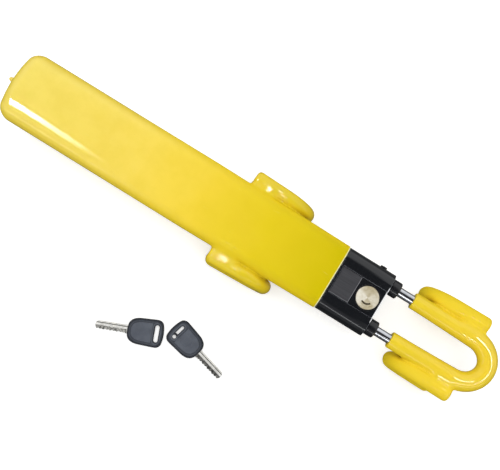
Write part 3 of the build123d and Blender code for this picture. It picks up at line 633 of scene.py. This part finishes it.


def plate_grey():
    """Satin plate with a fine brushed grain, edges painted pale as wear and as highlight, and a painted
    highlight on the cut edges at the front and the right.
    """
    n = Finish("plate_grey")
    x, y, _ = n.split(n.coords)
    low, high = box("label_plate")
    front = n.ramp(x, *[(high[0] - inset) * MM for inset in CUT_EDGE_HIGHLIGHT])
    right = n.ramp(y, *[(low[1] + inset) * MM for inset in CUT_EDGE_HIGHLIGHT])
    grain = n.noise(1500.0, detail=2.0, stretch=(0.03, 1.0, 1.0))
    tone = n.colour(n.vary(grain), rgb(0.045, 0.045, 0.050), rgb(0.068, 0.068, 0.075))
    # the edges are painted pale: partly wear, partly painted highlight
    tone = n.colour(n.edge_wear(0.0004), tone, rgb(0.50, 0.50, 0.52))
    # painted highlight on the front and right cut edges
    tone = n.colour(n.math("MAXIMUM", front, right), tone, rgb(0.30, 0.30, 0.32))
    return n.finished(
        Base_Color=tone,
        Metallic=0.25,
        Roughness=n.vary(n.noise(80.0), 0.42, 0.55),
        Normal=n.bump(grain, 0.00002, 0.5),
    )


def chrome():
    """Hard chrome on drawn rod, with hairline draw marks and a little haze."""
    n = Finish("chrome")
    hairs = n.noise(3000.0, detail=2.0, stretch=(0.02, 1.0, 1.0))
    haze = n.noise(150.0, detail=4.0)
    return n.finished(
        Base_Color=n.colour(n.vary(haze), rgb(0.62, 0.64, 0.68), rgb(0.78, 0.79, 0.82)),
        Metallic=1.0,
        Roughness=n.vary(haze, 0.06, 0.16),
        Normal=n.bump(hairs, 0.00002, 0.35),
    )


def steel(name, dark, light, rough):
    """Bare steel: mill tone, streaks and a light film of oil and rust blush."""
    n = Finish(name)
    streak = n.noise(700.0, detail=3.0, stretch=(0.08, 1.0, 1.0))
    tone = n.colour(n.vary(streak), dark, light)
    blush = n.ramp(n.noise(90.0, detail=5.0, roughness=0.6), 0.6, 0.75, 0.0, 0.35)
    return n.finished(
        Base_Color=n.colour(blush, tone, rgb(0.20, 0.12, 0.07)),
        Metallic=n.ramp(blush, 0, 0.35, 1.0, 0.8),
        Roughness=n.vary(n.noise(250.0, detail=3.0), rough, rough + 0.16),
        Normal=n.bump(streak, 0.00003, 0.4),
    )


RING_SPACING = 0.0011  # metres between the rings that the lathe left on the brass
FAN_TURN = 0.6  # where the painted fan-shaped sheen starts, in radians
SHADED_SIDE_ANGLE = 0.55  # the side of the brass face that is painted a little darker as shade, in radians from X


def turned_brass(name, dark, light):
    """Brass faced on a lathe: fine rings round the key axis, a painted fan-shaped sheen, painted shade on
    one side, and patches of tarnish.
    """
    n = Finish(name)
    x, y, _ = n.split(n.coords)
    flat = n.add("CombineXYZ", {"X": x, "Y": y}).outputs[0]
    radius = n.add("VectorMath", {0: flat}, operation="LENGTH").outputs["Value"]
    rings = n.math("SINE", n.math("MULTIPLY", radius, 2 * pi / RING_SPACING))
    angle = n.math("ARCTAN2", y, x)
    fan = n.math("COSINE", n.math("MULTIPLY_ADD", angle, 2.0, -FAN_TURN))
    # painted sheen: light and dark fans across the face, and painted shade on one side
    painted_sheen = n.ramp(fan, -0.6, 0.5, 0.58, 0.0)
    painted_shade_side = n.ramp(n.math("COSINE", n.math("SUBTRACT", angle, SHADED_SIDE_ANGLE)), -1.0, 1.0, 0.0, 0.34)
    patches = n.ramp(n.noise(260.0, detail=4.0, roughness=0.6), 0.42, 0.68)
    tarnish_and_painted_light = n.math("MULTIPLY_ADD", patches, 0.35, n.math("ADD", painted_sheen, painted_shade_side), clamp=True)
    return n.finished(
        Base_Color=n.colour(tarnish_and_painted_light, light, dark),
        Metallic=0.2,
        Roughness=n.mix(patches, 0.36, 0.5),
        Normal=n.bump(rings, 0.00003, 0.5, n.bump(n.noise(500.0), 0.00005, 0.25)),
        Anisotropic=0.6,
        Tangent=n.add("Tangent", direction_type="RADIAL", axis="Z").outputs[0],
    )


def gap_shade_zinc():
    """Zinc casting, coloured nearly black as painted shade for the dark gap where it shows between the
    skin and the housing.
    """
    n = Finish("gap_shade_zinc")
    grain = n.noise(450.0, detail=5.0, roughness=0.65)
    return n.finished(
        # painted shade: near-black so the gap behind the skin's end reads dark
        Base_Color=n.colour(grain, rgb(0.016, 0.016, 0.018), rgb(0.05, 0.05, 0.055)),
        Metallic=0.3,
        Roughness=n.vary(grain, 0.42, 0.6),
        Normal=n.bump(grain, 0.00012, 0.5),
    )


def plain_moulding(name, dark, light, rough, grain_size, grain_depth):
    """Moulded plastic or rubber with a spark-eroded grain and paler edges."""
    n = Finish(name)
    patch = n.noise(110.0, detail=3.0)
    tone = n.colour(n.vary(patch), dark, light)
    worn = rgb(*[min(1.0, 1.9 * part) for part in light[:3]])
    return n.finished(
        Base_Color=n.colour(n.edge_wear(0.0006), tone, worn),
        Roughness=n.vary(patch, rough, rough + 0.12),
        Normal=n.bump(n.noise(grain_size, detail=2.0), grain_depth, 0.6),
    )


def key_plastic():
    """Key heads: slate plastic, scuffed pale on the panel, with painted shade on the rim, round the slot
    and in the hollows.
    """
    n = Finish("key_plastic")
    patch = n.vary(n.noise(110.0, detail=3.0))
    tone = n.colour(patch, rgb(0.090, 0.099, 0.122), rgb(0.118, 0.130, 0.156))
    rim = n.add("Attribute", attribute_name="rim").outputs["Fac"]
    # painted shade from the stored rim values
    tone = n.colour(rim, tone, rgb(0.006, 0.007, 0.010))
    scuffs = n.noise(420.0, detail=5.0, roughness=0.7, stretch=(1, 0.3, 1))
    return n.finished(
        Base_Color=n.colour(n.ramp(scuffs, 0.62, 0.72, 0.0, 0.25), tone, rgb(0.12, 0.13, 0.15)),
        Roughness=n.mix(patch, 0.36, 0.5),
        Specular_IOR_Level=0.12,
        Normal=n.bump(n.noise(2200.0, detail=2.0), 0.00004, 0.6),
    )


GROOVE_Y = -0.0027  # the groove in a blade's plain land, in metres from the blade's middle


def nickel_silver(name, worn_side, milled_shade_tone):
    """Key metal: warm white on the lands, with painted shade as a dark line in the land's groove and a
    darker milled edge on one side, also painted shade.
    """
    n = Finish(name)
    across = n.math("MULTIPLY", n.split(n.coords)[1], worn_side)
    stain = n.ramp(n.noise(180.0, detail=4.0), 0.35, 0.65)
    land = n.colour(stain, rgb(0.72, 0.71, 0.68), rgb(0.90, 0.89, 0.86))
    from_groove = n.math("ABSOLUTE", n.math("SUBTRACT", across, GROOVE_Y))
    # painted shade: a dark line in the land's groove
    land = n.colour(n.ramp(from_groove, 0.0003, 0.0006, 1.0, 0.0), land, rgb(0.10, 0.10, 0.09))
    pits = rgb(0.3 * milled_shade_tone, 0.3 * milled_shade_tone, 0.28 * milled_shade_tone)
    ridges = rgb(2.2 * milled_shade_tone, 2.15 * milled_shade_tone, 2.0 * milled_shade_tone)
    streak = n.noise(900.0, detail=3.0, stretch=(0.5, 0.15, 1.0))
    milled = n.colour(n.ramp(streak, 0.35, 0.65), pits, ridges)
    return n.finished(
        # painted shade: the milled strip is darker than the land
        Base_Color=n.colour(n.ramp(across, -0.0002, 0.0004), land, milled),
        Metallic=0.2,
        Roughness=n.mix(stain, 0.22, 0.34),
        Normal=n.bump(n.noise(2400.0, detail=2.0, stretch=(1.0, 0.2, 1.0)), 0.00002, 0.4),
    )


# painted light: the handle's yellow is painted paler towards the tail and deeper towards the housing
HANDLE_TONES_PAINTED_LIGHT = (
    (TAIL_X, rgb(0.95, 0.76, 0.150)),
    (-265.0, rgb(0.95, 0.72, 0.105)),
    (-185.0, rgb(0.90, 0.66, 0.048)),
    (-115.0, rgb(0.79, 0.60, 0.017)),
    (SKIN_END_X, rgb(0.62, 0.50, 0.002)),
)
FORK_TONES = (
    (FORK_LOW[0], rgb(0.90, 0.67, 0.035)),
    (FORK_HIGH[0], rgb(0.92, 0.66, 0.040)),
)
HANDLE_YELLOW = yellow_vinyl("handle_vinyl", HANDLE_TONES_PAINTED_LIGHT, glossy_tail_and_hooks, rim=SKIN_END_X)
FORK_YELLOW = yellow_vinyl("fork_vinyl", FORK_TONES, glossy_bend)
MATERIALS = {
    "yellow_vinyl": HANDLE_YELLOW,
    "black_gloss": black_gloss(),
    "black_enamel": black_enamel(),
    "plate_grey": plate_grey(),
    "chrome": chrome(),
    "steel": steel("mill_steel", rgb(0.28, 0.28, 0.29), rgb(0.48, 0.48, 0.49), 0.3),
    "spring_steel": steel("spring_steel", rgb(0.30, 0.30, 0.32), rgb(0.52, 0.52, 0.54), 0.22),
    "die_cast": gap_shade_zinc(),
    "brass": turned_brass("turned_brass", rgb(0.52, 0.44, 0.27), rgb(0.92, 0.87, 0.74)),
    "bronze": turned_brass("bronze", rgb(0.36, 0.22, 0.10), rgb(0.55, 0.36, 0.18)),
    "nylon": plain_moulding("nylon", rgb(0.70, 0.68, 0.62), rgb(0.80, 0.78, 0.73), 0.4, 900.0, 0.00004),
    "bumper_rubber": plain_moulding(
        "bumper_rubber", rgb(0.012, 0.012, 0.012), rgb(0.022, 0.022, 0.022), 0.6, 600.0, 0.00008
    ),
    "key_plastic": key_plastic(),
    "key_metal": nickel_silver("key_metal", 1.0, 0.12),
}


# -------- CAD nodes that stay


EASED_EDGES = {  # width of the rounding on the visible CAD nodes
    "housing_top_cover": 0.35,
    "housing_bottom_cover": 0.35,
    "rod_collar_left": 0.3,
    "rod_collar_right": 0.3,
    "cylinder_shell": 0.15,
    "cylinder_plug": 0.1,
    "cylinder_bezel": 0.15,
    "label_plate": 0.12,
    "side_screw": 0.3,
    "fork_rod": 0.15,
}
WELD_REACH = 0.01
BEVEL_ANGLE = radians(30)  # edges sharper than this are eased


def ease_edges(piece, width):
    weld = piece.modifiers.new("weld", "WELD")
    weld.merge_threshold = WELD_REACH * MM
    bevel = piece.modifiers.new("eased_edges", "BEVEL")
    bevel.width = width * MM
    bevel.segments = 3
    bevel.limit_method = "ANGLE"
    bevel.angle_limit = BEVEL_ANGLE
    bevel.harden_normals = True


def dress_cad_nodes():
    """Gives each CAD node the finish of its slot, and eases the hard edges of the visible ones."""
    slots = {s["node"]: s["material_slot"] for s in frame["record"]["subparts"]}
    for node, piece in frame["nodes"].items():
        piece.data.materials.clear()
        piece.data.materials.append(MATERIALS[slots[node]])
        if node in EASED_EDGES:
            ease_edges(piece, EASED_EDGES[node])


dress_cad_nodes()


# -------- pieces that take the place of CAD nodes: the yellow skins


GRID_STEP = 1.0
FINE_STEP = 0.35  # across the thin cut edges
FINE_INSIDE = 3.0  # how far the finer grid reaches to both sides of the cut end
FINE_OUTSIDE = 1.0
GRID_MARGIN = 3.0


def stand_for(piece, body, nodes, material):
    """Puts a piece on a body, in the place of CAD nodes."""
    piece.data.materials.append(material)
    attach(piece, body)
    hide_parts(*nodes)


def skin_piece(name, field, nodes, fine_from, fine_to, material, body):
    """One skin in place of the CAD nodes, with a finer grid between fine_from and fine_to along X."""
    lows, highs = zip(*[box(node) for node in nodes])
    low, high = np.min(lows, axis=0) - GRID_MARGIN, np.max(highs, axis=0) + GRID_MARGIN
    axes = [ticks(low[0], high[0], GRID_STEP, fine_from, fine_to, FINE_STEP)]
    axes += [ticks(low[i], high[i], GRID_STEP) for i in (1, 2)]
    piece = mesh_object(name, *surface_net(field, axes))
    stand_for(piece, body, nodes, material)
    return piece


handle_skin = skin_piece(
    "handle_skin",
    handle_field,
    ("handle_jacket", "body_hook_jacket_left", "body_hook_jacket_right"),
    SKIN_END_X - FINE_INSIDE,
    SKIN_END_X + FINE_OUTSIDE,
    HANDLE_YELLOW,
    "handle",
)
fork_skin = skin_piece(
    "fork_skin",
    fork_field,
    ("fork_jacket", "fork_hook_jacket_left", "fork_hook_jacket_right"),
    FORK_LOW[0] - FINE_OUTSIDE,
    FORK_LOW[0] + FINE_INSIDE,
    FORK_YELLOW,
    "fork",
)


# -------- keys


CROWN_R = 42.0  # the head's far end in plan, where the slot for the ring is
CROWN_FILLET = 5.5
HEEL_R = 26.0  # the head's end at the blade
HEEL_FILLET = 7.5
HEEL_NARROWING = 0.9
HEEL_GROWTH = 1.2  # the head is at full width this many times sooner than at its far end
HEAD_EDGE_R = 2.4
WAIST_DEPTH = 0.8  # the head's body lies this far below its raised panel
SLOT_INSET = 7.6  # from the crown to the slot's middle
WIDE_SLOT = 0.0, 6.8, 2.3  # shift to the side, half length without the round ends, and radius
SMALL_SLOT = 1.5, 5.0, 1.5  # of the key with an eyelet
PANEL_INSET = 4.2
PANEL_END = 12.6  # from the crown
PANEL_SINK = 0.12  # the beads and the panel lie a little deeper than the surface they stand on
RIM_INSET = 1.7
RIM_SINK = 0.9
RIM_R = 1.45
COLLAR_INSET = 1.2
COLLAR_SINK = 0.6
COLLAR_R = 1.25
EYELET_PLACE = 8.2, 6.4  # from the crown, and to the side
EYELET_HOLE_R = 2.0
EYELET_R = 3.1
EYELET_WIRE_R = 1.3
EYELET_SINK = 1.4
DISC_R = 6.2  # the groove round the middle of the panel
GROOVE_R = 0.5
SEAM_R = 0.18
BLADE_HALF_WIDTH = 4.5
BLADE_GRIP = 8.0  # the blade runs this far into the head
BLADE_FLAT = 0.35  # cut off the blade's round top
LAND_GROOVE_R = 0.55
NOSE_R = 5.5
MILLED_FROM = 1.5  # the milling begins this far outside the head
MILLED_DEPTH = 0.7
MILLED_FILLET = 0.3
STRIP_Y = 1.0  # from here to the edge the milled strip lies lower than the land
STRIP_RISE = 0.15  # above the blade's middle
CUT_WAVES = ((0.75, 1.75, 0.0), (0.45, 0.9, 1.0))  # height, turns and start of the key's uneven cuts
RIM_SHADE = 3.4, 1.6  # how far in from the outline the painted shade of the rim reaches, and its fading edge
SLOT_SHADE = 1.8, 1.2
LOW_SHADE = 0.55, 0.5  # depth below the faces from which painted shade darkens the hollows
RIM_SHADE_STRENGTH = 0.75
KEY_MARGIN = 1.5
HEAD_GRID = ((0.4, 0.4, 0.25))
BLADE_GRID = (0.4, 0.25, 0.25)


def middle_and_half(values):
    return (values.min() + values.max()) / 2, (values.max() - values.min()) / 2


def key_frame(number):
    """Origin, directions and sizes of a key, read from its CAD head and blade."""
    blade = mesh_points(frame["nodes"][f"key_{number}_blade"])
    head = mesh_points(frame["nodes"][f"key_{number}_head"])
    flat = (blade - blade.mean(axis=0))[:, :2]
    along = np.linalg.eigh(flat.T @ flat)[1][:, -1]
    if (head.mean(axis=0) - blade.mean(axis=0))[:2] @ along < 0:
        along = -along
    along = np.array([along[0], along[1], 0.0])
    across = np.array([-along[1], along[0], 0.0])
    up = np.array([0.0, 0.0, 1.0])
    middles, halves = zip(*[middle_and_half(head @ axis) for axis in (along, across, up)])
    return {
        "origin": middles[0] * along + middles[1] * across + middles[2] * up,
        "axes": np.stack([along, across, up]),
        "half_length": halves[0],
        "half_wide": halves[1],
        "half_thick": halves[2],
        "tip": (blade @ along).min() - middles[0],
        "blade_low": blade[:, 2].min() - middles[2],
        "blade_high": blade[:, 2].max() - middles[2],
    }


def key_outline(key, x, y):
    """Distance in plan from the edge of a key's head."""
    long, wide = key["half_length"], key["half_wide"]
    heel_wide = HEEL_NARROWING * wide
    share = fade(x + long, 2 * long / HEEL_GROWTH)
    side = np.abs(y) - (heel_wide + (wide - heel_wide) * share)
    crown = length(x - (long - CROWN_R), y) - CROWN_R
    heel = length(x + (long - HEEL_R), y) - HEEL_R
    return blend_cut(blend_cut(side, crown, CROWN_FILLET), heel, HEEL_FILLET)


def key_slot(key, x, y, eyelet):
    """Distance in plan from the slot for the key ring, which runs across the head."""
    shift, half, radius = SMALL_SLOT if eyelet else WIDE_SLOT
    from_line = np.maximum(np.abs(y + shift) - half, 0)
    return length(x - (key["half_length"] - SLOT_INSET), from_line) - radius


def head_relief(body, outline, slot, x, above, long):
    """Adds the rim along the outline, the collar round the slot and the raised panel to both faces."""
    waist = above + WAIST_DEPTH
    rim = bead(outline + RIM_INSET, waist + RIM_SINK, RIM_R)
    collar = bead(slot - COLLAR_INSET, waist + COLLAR_SINK, COLLAR_R)
    panel = np.maximum(np.maximum(outline + PANEL_INSET, x - (long - PANEL_END)), above + PANEL_SINK)
    for raised, fillet in ((rim, 0.5), (collar, 0.5), (panel, 0.4)):
        body = blend_union(body, raised, fillet)
    return blend_cut(body, -slot, 0.7)


def add_eyelet(body, x, y, height, long):
    """A small wire-like loop moulded on one face, with a hole through the head."""
    from_crown, aside = EYELET_PLACE
    radius = length(x - (long - from_crown), y - aside)
    body = blend_union(body, bead(radius - EYELET_R, height + EYELET_SINK, EYELET_WIRE_R), 0.4)
    return blend_cut(body, EYELET_HOLE_R - radius, 0.5)


def key_head_field(key, face, eyelet):
    """A moulded head with a seam. face is 1 if its round groove is on the upper face, and -1 if not."""
    long, thick = key["half_length"], key["half_thick"]

    def field(p):
        x, y, z = p[..., 0], p[..., 1], p[..., 2]
        outline = key_outline(key, x, y)
        slot = key_slot(key, x, y, eyelet)
        above = np.abs(z) - thick  # both faces are at 0
        waist = above + WAIST_DEPTH
        body = round_edges([outline + HEAD_EDGE_R, waist + HEAD_EDGE_R], HEAD_EDGE_R)
        body = head_relief(body, outline, slot, x, above, long)
        height = face * z - thick
        if eyelet:
            body = add_eyelet(body, x, y, height, long)
        body = blend_cut(body, -bead(length(x, y) - DISC_R, height - 0.05, GROOVE_R), 0.2)
        return np.maximum(body, -bead(outline, z, SEAM_R))

    return field


def paint_rim_shade(piece, key, eyelet):
    """Stores painted shade for each point: on the head's rim, on the slot's collar and in the hollows."""
    x, y, z = mesh_points(piece).T
    near_edge = fade(key_outline(key, x, y) + RIM_SHADE[0], RIM_SHADE[1])
    near_slot = fade(SLOT_SHADE[0] - key_slot(key, x, y, eyelet), SLOT_SHADE[1])
    low = fade(key["half_thick"] - LOW_SHADE[0] - np.abs(z), LOW_SHADE[1])
    shade_marks = np.maximum(RIM_SHADE_STRENGTH * np.maximum(near_edge, near_slot), low)
    piece.data.attributes.new("rim", "FLOAT", "POINT").data.foreach_set("value", shade_marks.astype(np.float32))


def key_blade_field(key, side):
    """A blade with a rounded back, a plain land along one side and a lower milled strip on the other."""
    tip, heel = key["tip"], -key["half_length"]
    low, high = key["blade_low"], key["blade_high"]
    deep, middle_z = (high - low) / 2, (low + high) / 2

    def field(p):
        x, y, z = p[..., 0], side * p[..., 1], p[..., 2]
        body = (length(y / BLADE_HALF_WIDTH, (z - middle_z) / deep) - 1) * deep
        flat = z - high + BLADE_FLAT  # 0 on the flat top
        body = blend_cut(body, flat, 0.5)
        waves = sum(height * np.sin(x * turns + start) for height, turns, start in CUT_WAVES)
        milled = x < heel - MILLED_FROM
        edge = y - BLADE_HALF_WIDTH + np.where(milled, MILLED_DEPTH + 0.6 * waves, 0.0)
        body = blend_cut(body, edge, MILLED_FILLET)
        step = np.maximum(STRIP_Y + 0.25 * waves - y, middle_z + STRIP_RISE - z)
        body = np.where(milled, blend_cut(body, -step, MILLED_FILLET), body)
        from_groove = np.maximum(np.abs(y - GROOVE_Y / MM) - 0.15, 0)
        body = blend_cut(body, -bead(from_groove, flat, LAND_GROOVE_R), 0.2)
        nose = length(x - (tip + NOSE_R), y) - NOSE_R
        ends = np.maximum(np.where(x < tip + NOSE_R, nose, tip - x), x - (heel + BLADE_GRIP))
        return blend_cut(body, ends, 0.5)

    return field


def key_piece(name, body, field, key, grid, material, node):
    """Builds a piece in the key's own directions, then puts it where the key lies."""
    piece = mesh_object(name, *surface_net(field, [ticks(*line) for line in zip(*grid)]))
    piece.matrix_world = Matrix.Translation(Vector(key["origin"]) * MM) @ Matrix(key["axes"].T).to_4x4()
    stand_for(piece, body, [node], material)
    return piece


def make_key(number, side, milled_shade_tone, eyelet):
    """A moulded head and a milled blade. side is 1, or -1 for the key that lies turned over."""
    name = f"key_{number}"
    key = key_frame(number)
    reach = np.array([key["half_length"], key["half_wide"], key["half_thick"]]) + KEY_MARGIN
    grid = (-reach, reach, HEAD_GRID)
    field = key_head_field(key, side, eyelet)
    plastic = MATERIALS["key_plastic"]
    head = key_piece(name + "_moulding", name, field, key, grid, plastic, name + "_head")
    paint_rim_shade(head, key, eyelet)
    low = np.array([key["tip"], -BLADE_HALF_WIDTH, key["blade_low"]]) - KEY_MARGIN
    high = np.array([BLADE_GRIP - key["half_length"], BLADE_HALF_WIDTH, key["blade_high"]]) + KEY_MARGIN
    grid = (low, high, BLADE_GRID)
    field = key_blade_field(key, side)
    metal = nickel_silver(name + "_metal", side, milled_shade_tone)
    key_piece(name + "_milled_blade", name, field, key, grid, metal, name + "_blade")


make_key(1, -1, 0.3, eyelet=False)
make_key(2, 1, 0.10, eyelet=True)


# -------- floor, light and camera


FLOOR_HALF = 2500.0
FLOOR_CELLS = 24
FLOOR_GAP = 0.2
FLOOR_GLOW = 0.42  # only the camera sees it

BACKDROP_GLOW = 0.93
FILL_GLOW = 0.52
CEILING_GLOW = 0.03
LEFT_GLOW = 0.9
RIGHT_GLOW = 0.22
GAP_GLOW = 5.0
GAP_ANGLE = 0.95  # radians from straight up
GAP_WIDTH = 0.02, 0.07  # half width where it is bright, and where it has faded out
# where each part of the surroundings begins and is full, as a part of the direction's length
CEILING_EDGE = 0.985, 0.84
GROUND_EDGE = -0.15, 0.08
LEFT_EDGE = -0.15, 0.3
GROUND_SHARE = 0.15  # of the walls' brightness

OVERHEAD_PLACE = (-0.25, 0.1, 1.6)
OVERHEAD_TARGET = (-0.2, 0.0, 0.0)
OVERHEAD_SIZE = (1.5, 1.2)
OVERHEAD_POWER = 16.5
EYE = (-0.1315, -0.082, 0.9)  # the camera's place
LAMP_HEIGHT = 1.0
TAIL_STREAK = {"place": (-0.68, -0.110, LAMP_HEIGHT), "size": (0.50, 0.13), "turn": -17, "radiance": 150.0}
HOOK_GLINTS = (  # place along X and Y, and width
    (-0.157, -0.14, 0.016),
    (-0.118, -0.14, 0.008),
    (-0.158, 0.28, 0.014),
    (-0.118, 0.28, 0.010),
)
GLINT_DEPTH = 0.10
GLINT_RADIANCE = 70.0
BEND_PATCHES = 15
BEND_PATCH = (0.13, 0.13)
BEND_RADIANCE = 26.0
BEND_TILTS = (0.33, 0.02)  # how far the line lies down the outside of the bend, right leg and left leg
BEND_TILT_CURVE = 1.3

CAMERA_TARGET = (-0.1315, -0.0073, ROD_Z * MM)
CAMERA_DISTANCE = 0.9
CAMERA_LEAN = radians(4.75)
CAMERA_ROLL = radians(31.7)
SENSOR_WIDTH = 36.0
VIEW_WIDTH = 0.5  # metres across the picture at the target


def make_floor():
    """A wide pale sheet under the hooks and the keys. It looks white but throws little light back up."""
    ends = np.linspace(-FLOOR_HALF, FLOOR_HALF, FLOOR_CELLS + 1)
    verts = [(x, y, FLOOR_Z - FLOOR_GAP) for y in ends for x in ends]
    across = FLOOR_CELLS + 1
    starts = [row * across + column for row in range(FLOOR_CELLS) for column in range(FLOOR_CELLS)]
    floor = mesh_object("floor", verts, [(s, s + 1, s + across + 1, s + across) for s in starts])
    n = Finish("floor_paper")
    grain = n.noise(300.0, detail=3.0)
    seen = n.add("LightPath").outputs["Is Camera Ray"]
    paper = n.colour(grain, rgb(0.93, 0.93, 0.925), rgb(0.96, 0.96, 0.955))
    finish = n.finished(
        Base_Color=n.colour(seen, rgb(0.50, 0.50, 0.50), paper),
        Roughness=0.9,
        Normal=n.bump(grain, 0.00005, 0.2),
        Emission_Color=rgb(1.0, 1.0, 1.0),
        Emission_Strength=n.mix(seen, 0.0, FLOOR_GLOW),
    )
    floor.data.materials.append(finish)
    floor.visible_glossy = False


def area_lamp(name, shape, place, size, power):
    """A flat lamp that shines straight down."""
    light = bpy.data.lights.new(name, "AREA")
    light.shape = shape
    light.size, light.size_y = size
    light.energy = power
    lamp = bpy.data.objects.new(name, light)
    lamp.location = place
    bpy.context.scene.collection.objects.link(lamp)
    return lamp


def highlight(name, place, size, turn, radiance, seen_on):
    """A level bright patch that one piece reflects and that lights nothing else."""
    area = pi / 4 * size[0] * size[1]
    lamp = area_lamp(name, "ELLIPSE", place, size, pi * area * radiance)
    lamp.rotation_euler = (0, 0, radians(turn))
    lamp.visible_diffuse = False
    receivers = bpy.data.collections.new(name + "_receivers")
    receivers.objects.link(seen_on)
    lamp.light_linking.receiver_collection = receivers
    return lamp


def fade_along(lamp):
    """Makes a lamp's brightness fall from one end of its width to the other."""
    lamp.data.use_nodes = True
    n = Graph(lamp.data.node_tree)
    share = n.split(n.add("NewGeometry").outputs["Parametric"])[0]
    strength = n.math("POWER", n.math("SUBTRACT", 1.0, share), 2.0)
    n.put(n.tree.nodes["Emission"].inputs["Strength"], strength)


def bend_line():
    """Small patches along an arc, whose reflections join into one thin line round the fork's bend."""
    first_tilt, last_tilt = BEND_TILTS
    for number in range(BEND_PATCHES):
        share = number / (BEND_PATCHES - 1)
        turn = -pi / 2 + pi * share
        outward = (cos(turn), sin(turn))
        on_bend = ((BEND_X + BEND_DEPTH * outward[0]) * MM, ROD_Y * outward[1] * MM)
        tilt = first_tilt + (last_tilt - first_tilt) * share**BEND_TILT_CURVE
        place = [
            here + (here - eye) * LAMP_HEIGHT / EYE[2] + 2 * tilt * out
            for here, eye, out in zip(on_bend, EYE, outward)
        ]
        highlight(f"bend_line_{number}", (*place, LAMP_HEIGHT), BEND_PATCH, 0, BEND_RADIANCE, fork_skin)


def make_surroundings():
    """Even white for the shading. Reflections see a dark ceiling, a bright left side, a dim right
    side with one bright gap low down, and a dark ground."""
    world = bpy.data.worlds.new("studio")
    bpy.context.scene.world = world
    world.use_nodes = True
    n = Graph(world.node_tree)
    _, y, z = n.split(n.add("TexCoord").outputs["Generated"])
    below_ceiling = n.ramp(z, *CEILING_EDGE, smooth=True)
    above_ground = n.ramp(z, *GROUND_EDGE, GROUND_SHARE, 1.0, smooth=True)
    sides = n.ramp(y, *LEFT_EDGE, RIGHT_GLOW, LEFT_GLOW, smooth=True)
    off_gap = n.math("ABSOLUTE", n.math("ADD", n.math("ARCTAN2", y, z), GAP_ANGLE))
    gap = n.ramp(off_gap, *GAP_WIDTH, GAP_GLOW, 0.0, smooth=True)
    walls = n.math("MULTIPLY", n.math("MULTIPLY", sides, below_ceiling), above_ground)
    mirrored = n.math("ADD", n.math("ADD", walls, gap), CEILING_GLOW)
    rays = n.add("LightPath").outputs
    glow = n.mix(rays["Is Glossy Ray"], FILL_GLOW, mirrored)
    glow = n.mix(rays["Is Camera Ray"], glow, BACKDROP_GLOW)
    background = n.tree.nodes["Background"]
    n.put(background.inputs["Strength"], glow)
    n.put(background.inputs["Color"], rgb(0.98, 0.99, 1.0))


def make_light():
    """A broad overhead light, and small bright ones that only show as highlights on curved skin."""
    make_surroundings()
    overhead = area_lamp("overhead", "RECTANGLE", OVERHEAD_PLACE, OVERHEAD_SIZE, OVERHEAD_POWER)
    overhead.rotation_mode = "QUATERNION"
    aim = Vector(OVERHEAD_TARGET) - Vector(OVERHEAD_PLACE)
    overhead.rotation_quaternion = aim.to_track_quat("-Z", "Y")
    overhead.visible_glossy = False
    fade_along(highlight("tail_streak", seen_on=handle_skin, **TAIL_STREAK))
    for number, (x, y, wide) in enumerate(HOOK_GLINTS):
        size = (wide, GLINT_DEPTH)
        highlight(f"hook_glint_{number}", (x, y, LAMP_HEIGHT), size, 0, GLINT_RADIANCE, handle_skin)
    bend_line()


def make_camera():
    """Looks almost straight down, with the lock running from upper left to lower right."""
    back = Vector((0, -sin(CAMERA_LEAN), cos(CAMERA_LEAN)))
    side = Vector((1, 0, 0))
    right = cos(CAMERA_ROLL) * side + sin(CAMERA_ROLL) * back.cross(side)
    up = back.cross(right)
    place = Vector(CAMERA_TARGET) + back * CAMERA_DISTANCE
    data = bpy.data.cameras.new("camera")
    data.sensor_width = SENSOR_WIDTH
    data.lens = SENSOR_WIDTH * CAMERA_DISTANCE / VIEW_WIDTH
    camera = bpy.data.objects.new("camera", data)
    directions = Matrix((right, up, back)).transposed().to_4x4()
    camera.matrix_world = Matrix.Translation(place) @ directions
    bpy.context.scene.collection.objects.link(camera)
    bpy.context.scene.camera = camera


make_floor()
make_light()
make_camera()
bpy.context.scene.view_settings.view_transform = "Standard"
